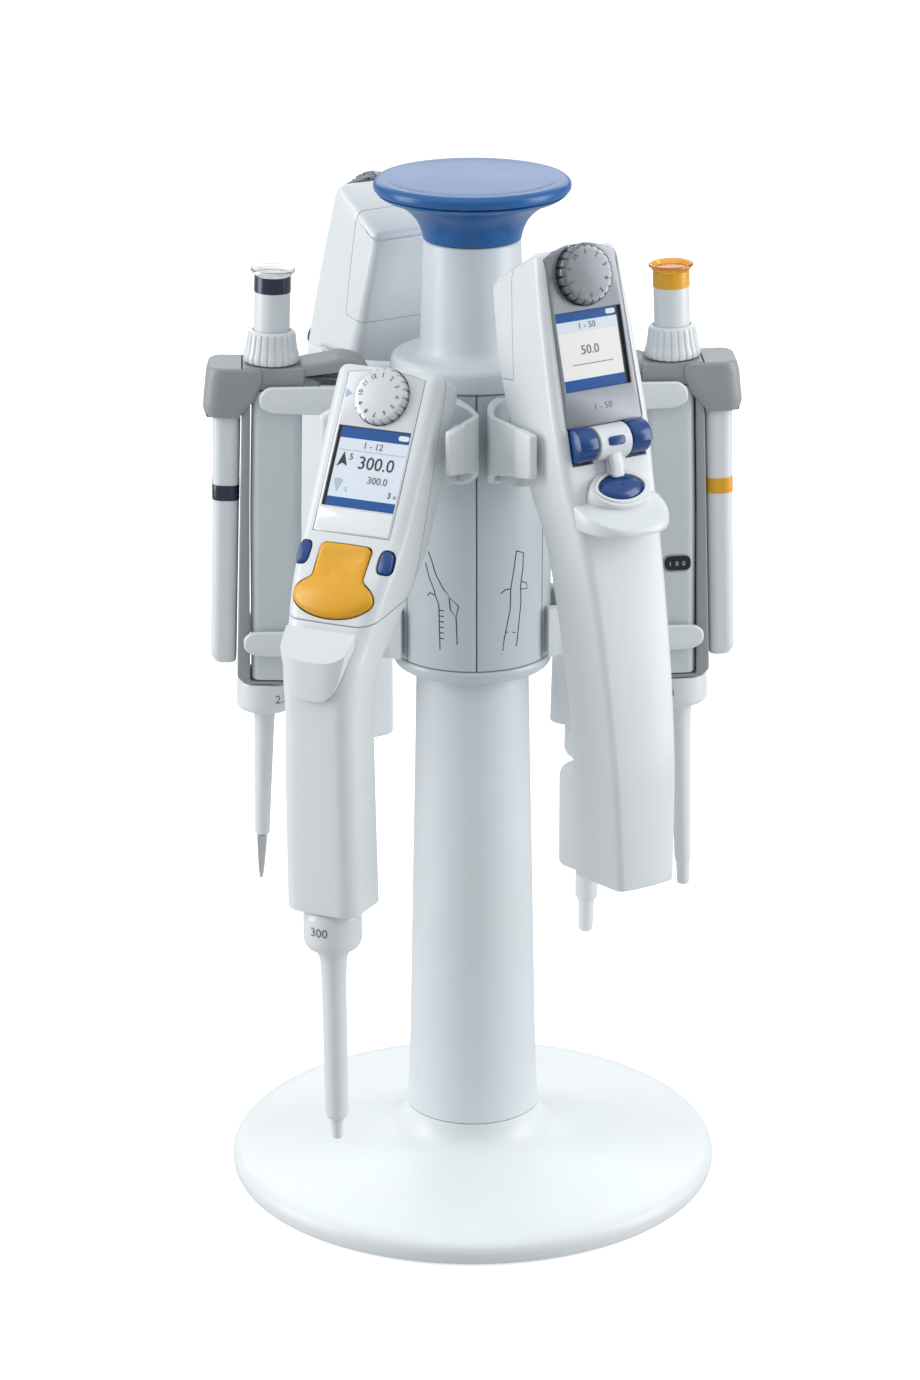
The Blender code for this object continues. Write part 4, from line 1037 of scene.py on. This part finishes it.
def steel_cone(top):
    profile = smooth_rows([(2.05, top), (2, top - 2), (1.5, top - 10), (0.75, -72.8),
                           (0.5, -73.6)], 1)
    return {"nose_cone": (lathe(profile, 48), "", STEEL, "nose_cone")}


def manual_pipette(shaft, band, clear, number, number_angle, extra):
    handle = upright(((15.6, -12.6, 5.6, 10.6, 3.4), (45, -14, 6.3, 10.6, 3.6),
                      (88, -12.9, 7.2, 10.6, 3.6), (132.6, -12.3, 7.4, 10.6, 3.6)), 0.8, 0.8)
    lower = softened([(0, 12.5), (11.15, 12.5), (11.15, 1.6), (9.6, 0)] + shaft
                     + [(0, shaft[-1][1])], 1)
    figures = wrap(text(number, 5, None, 0.1), 11.15)
    figures.data.transform(turn(number_angle, "Z") @ move(0, 0, 6.4))
    return {
        "handle": (handle, "", HANDLE, "handle"), "frame": (manual_frame(), "", GREY, "frame"),
        "lower_part": (lathe(lower), "", WHITE, "lower_part"),
        **control_button(band, clear),
        "ring": (adjusting_ring(), "ring", WHITE, "adjust_ring"),
        **manual_ejector(band), "collar_number": (figures, "", INK_GREY), **extra}


# -------------------- assembly

STATION = [turn(3 + 60 * index, "Z") for index in range(6)]
RIGHT, BACK_RIGHT, BACK_LEFT, LEFT, FRONT_LEFT, FRONT_RIGHT = STATION
UPRIGHT = Matrix.Identity(4)

for name, piece, body_name, material in (
        ("base_plate", base_plate(), "stand", STAND), ("column", column(), "stand", COLUMN),
        ("hub_core", hub_core(), "carousel", PANEL), ("neck", neck(), "carousel", COLUMN),
        ("knob_skirt", knob_skirt(), "carousel", BLUE),
        ("knob_plate", knob_plate(), "carousel", BLUE)):
    place(f"{name}_look", piece, UPRIGHT, body_name, material, [name])
frame["nodes"]["bearing"].material_slots[0].material = BEARING

panel, fork_arms = hub_panel(), fork()
short_arms, long_arms = cradle(71, 1.9), cradle(79.5, 0)
HOLDERS = (("right", RIGHT, fork_arms), ("back_right", BACK_RIGHT, short_arms),
           ("back_left", BACK_LEFT, long_arms), ("left", LEFT, fork_arms),
           ("front_left", FRONT_LEFT, short_arms), ("front_right", FRONT_RIGHT, long_arms))
for name, station, arms in HOLDERS:
    place(f"{name}_panel_look", panel, station, "carousel", PANEL)
    place(f"{name}_arms_look", arms, station, "carousel", WHITE, [f"{name}_holder"])
for name, station, lines in (("left", FRONT_LEFT @ turn(2.4, "Z"), RACK_SIGN),
                             ("right", FRONT_RIGHT @ turn(-3, "Z"), TOOL_SIGN)):
    place(f"{name}_sign", pictogram(lines), station, "carousel", INK)


LEAN = move(83.6, 0, 201.5) @ turn(-2, "Y")
right_shaft = [(5.8, 0), (4.7, -3), (4.4, -9), (3.6, -50), (3.3, -69), (2.7, -70.5),
               (2.5, -79.8)]
left_shaft = [(5.2, 0), (4.3, -2.4), (4, -6), (3.4, -35), (3, -54.4)]
right_pipette = manual_pipette(right_shaft, ORANGE, CLEAR_ORANGE, "100", -125,
                               volume_window())
left_pipette = manual_pipette(left_shaft, NAVY, CLEAR, "2.5", 127,
                              steel_cone(left_shaft[-1][1] - GAP))
install(right_pipette, "right_pipette", RIGHT @ LEAN)
install(left_pipette, "left_pipette", LEFT @ LEAN)

# The two electronic pipettes hang a little out of true.
FRONT_SWAY = move(118, 0, 150) @ turn(0.62, "X") @ move(-118, 0, -150)
BACK_SWAY = move(66, 0, 325) @ turn(1, "X") @ move(-66, 0, -325)
front_pipette = electronic_pipette("300.0", 2.45, 4.5, 59.4, 68)
back_pipette = electronic_pipette("100.0", 3.45, 4.9, 58, 73)
install(front_pipette, "front_pipette", FRONT_LEFT @ FRONT_SWAY)
install(back_pipette, "back_pipette", BACK_RIGHT @ BACK_SWAY)

dispenser = electronic_dispenser()
install(dispenser, "front_dispenser", FRONT_RIGHT)
install(dispenser, "back_dispenser", BACK_LEFT)
for leftover in [o for o in bpy.data.objects if o.name.startswith("solid")]:
    bpy.data.objects.remove(leftover)


# -------------------- studio

def softbox(name, location, target, width, height, power):
    light = bpy.data.lights.new(name, "AREA")
    light.energy = power
    light.shape = "RECTANGLE"
    light.size = width
    light.size_y = height
    lamp = bpy.data.objects.new(name, light)
    lamp.location = location
    aim = Vector(target) - Vector(location)
    lamp.rotation_euler = aim.to_track_quat("-Z", "Y").to_euler()
    lamp.visible_camera = False
    bpy.context.scene.collection.objects.link(lamp)


FLOOR_REACH = 40
floor_mesh = bpy.data.meshes.new("floor")
floor_mesh.from_pydata([(x * FLOOR_REACH, y * FLOOR_REACH, 0)
                        for x, y in box(-1, 1, -1, 1)], [], [range(4)])
floor = bpy.data.objects.new("floor", floor_mesh)
FLOOR_WHITE = plastic("floor_white", (0.9, 0.9, 0.9), 0.6, grain=0, edge=0, shade=0)
set_inputs(FLOOR_WHITE.node_tree.nodes["Principled BSDF"],
           {"Emission Color": (1, 1, 1, 1), "Emission Strength": 0.35})
floor_mesh.materials.append(FLOOR_WHITE)
bpy.context.scene.collection.objects.link(floor)
floor.visible_diffuse = False
floor.visible_glossy = False

# The studio is bright overhead, dim near the horizon and softly lit from below.
world = bpy.data.worlds.new("studio")
world.use_nodes = True
sky, sky_links = world.node_tree.nodes, world.node_tree.links
direction = sky.new("ShaderNodeTexCoord")
parts = sky.new("ShaderNodeSeparateXYZ")
height = sky.new("ShaderNodeMapRange")
height.inputs["From Min"].default_value = -1
tone = sky.new("ShaderNodeValToRGB")
stops = tone.color_ramp.elements
stops.new(0.5)
stops.new(0.58)
SKY_GREYS = (0.55, 0.36, 0.16, 0.9)
for stop, grey in zip(stops, SKY_GREYS):
    stop.color = (0.94 * grey, 0.98 * grey, grey, 1)
sky_links.new(direction.outputs["Generated"], parts.inputs[0])
sky_links.new(parts.outputs["Z"], height.inputs["Value"])
sky_links.new(height.outputs["Result"], tone.inputs["Fac"])
sky_links.new(tone.outputs["Color"], sky["Background"].inputs["Color"])
sky["Background"].inputs["Strength"].default_value = 1.35
bpy.context.scene.world = world
bpy.context.scene.view_settings.view_transform = "Standard"
for name, x in (("left_light", -1.35), ("right_light", 1.35)):
    softbox(name, (x, -0.15, 0.55), (0, 0, 0.25), 0.7, 1.3, 13)
softbox("back_light", (0, 1.9, 1.15), (0, 0, 0.3), 2.4, 0.9, 10)

CAMERA_DIP, CAMERA_ROLL, CAMERA_SWING = radians(19.382), radians(0.085), radians(0.154)
camera_data = bpy.data.cameras.new("camera")
camera_data.lens = 107.84
camera_data.sensor_width = camera_data.sensor_height = 36
camera_data.clip_start = 0.05
camera = bpy.data.objects.new("camera", camera_data)
camera.location = (0, -1.56784, 0.75859)
camera.rotation_euler = (pi / 2 - CAMERA_DIP, CAMERA_ROLL, CAMERA_SWING)
bpy.context.scene.collection.objects.link(camera)
bpy.context.scene.camera = camera
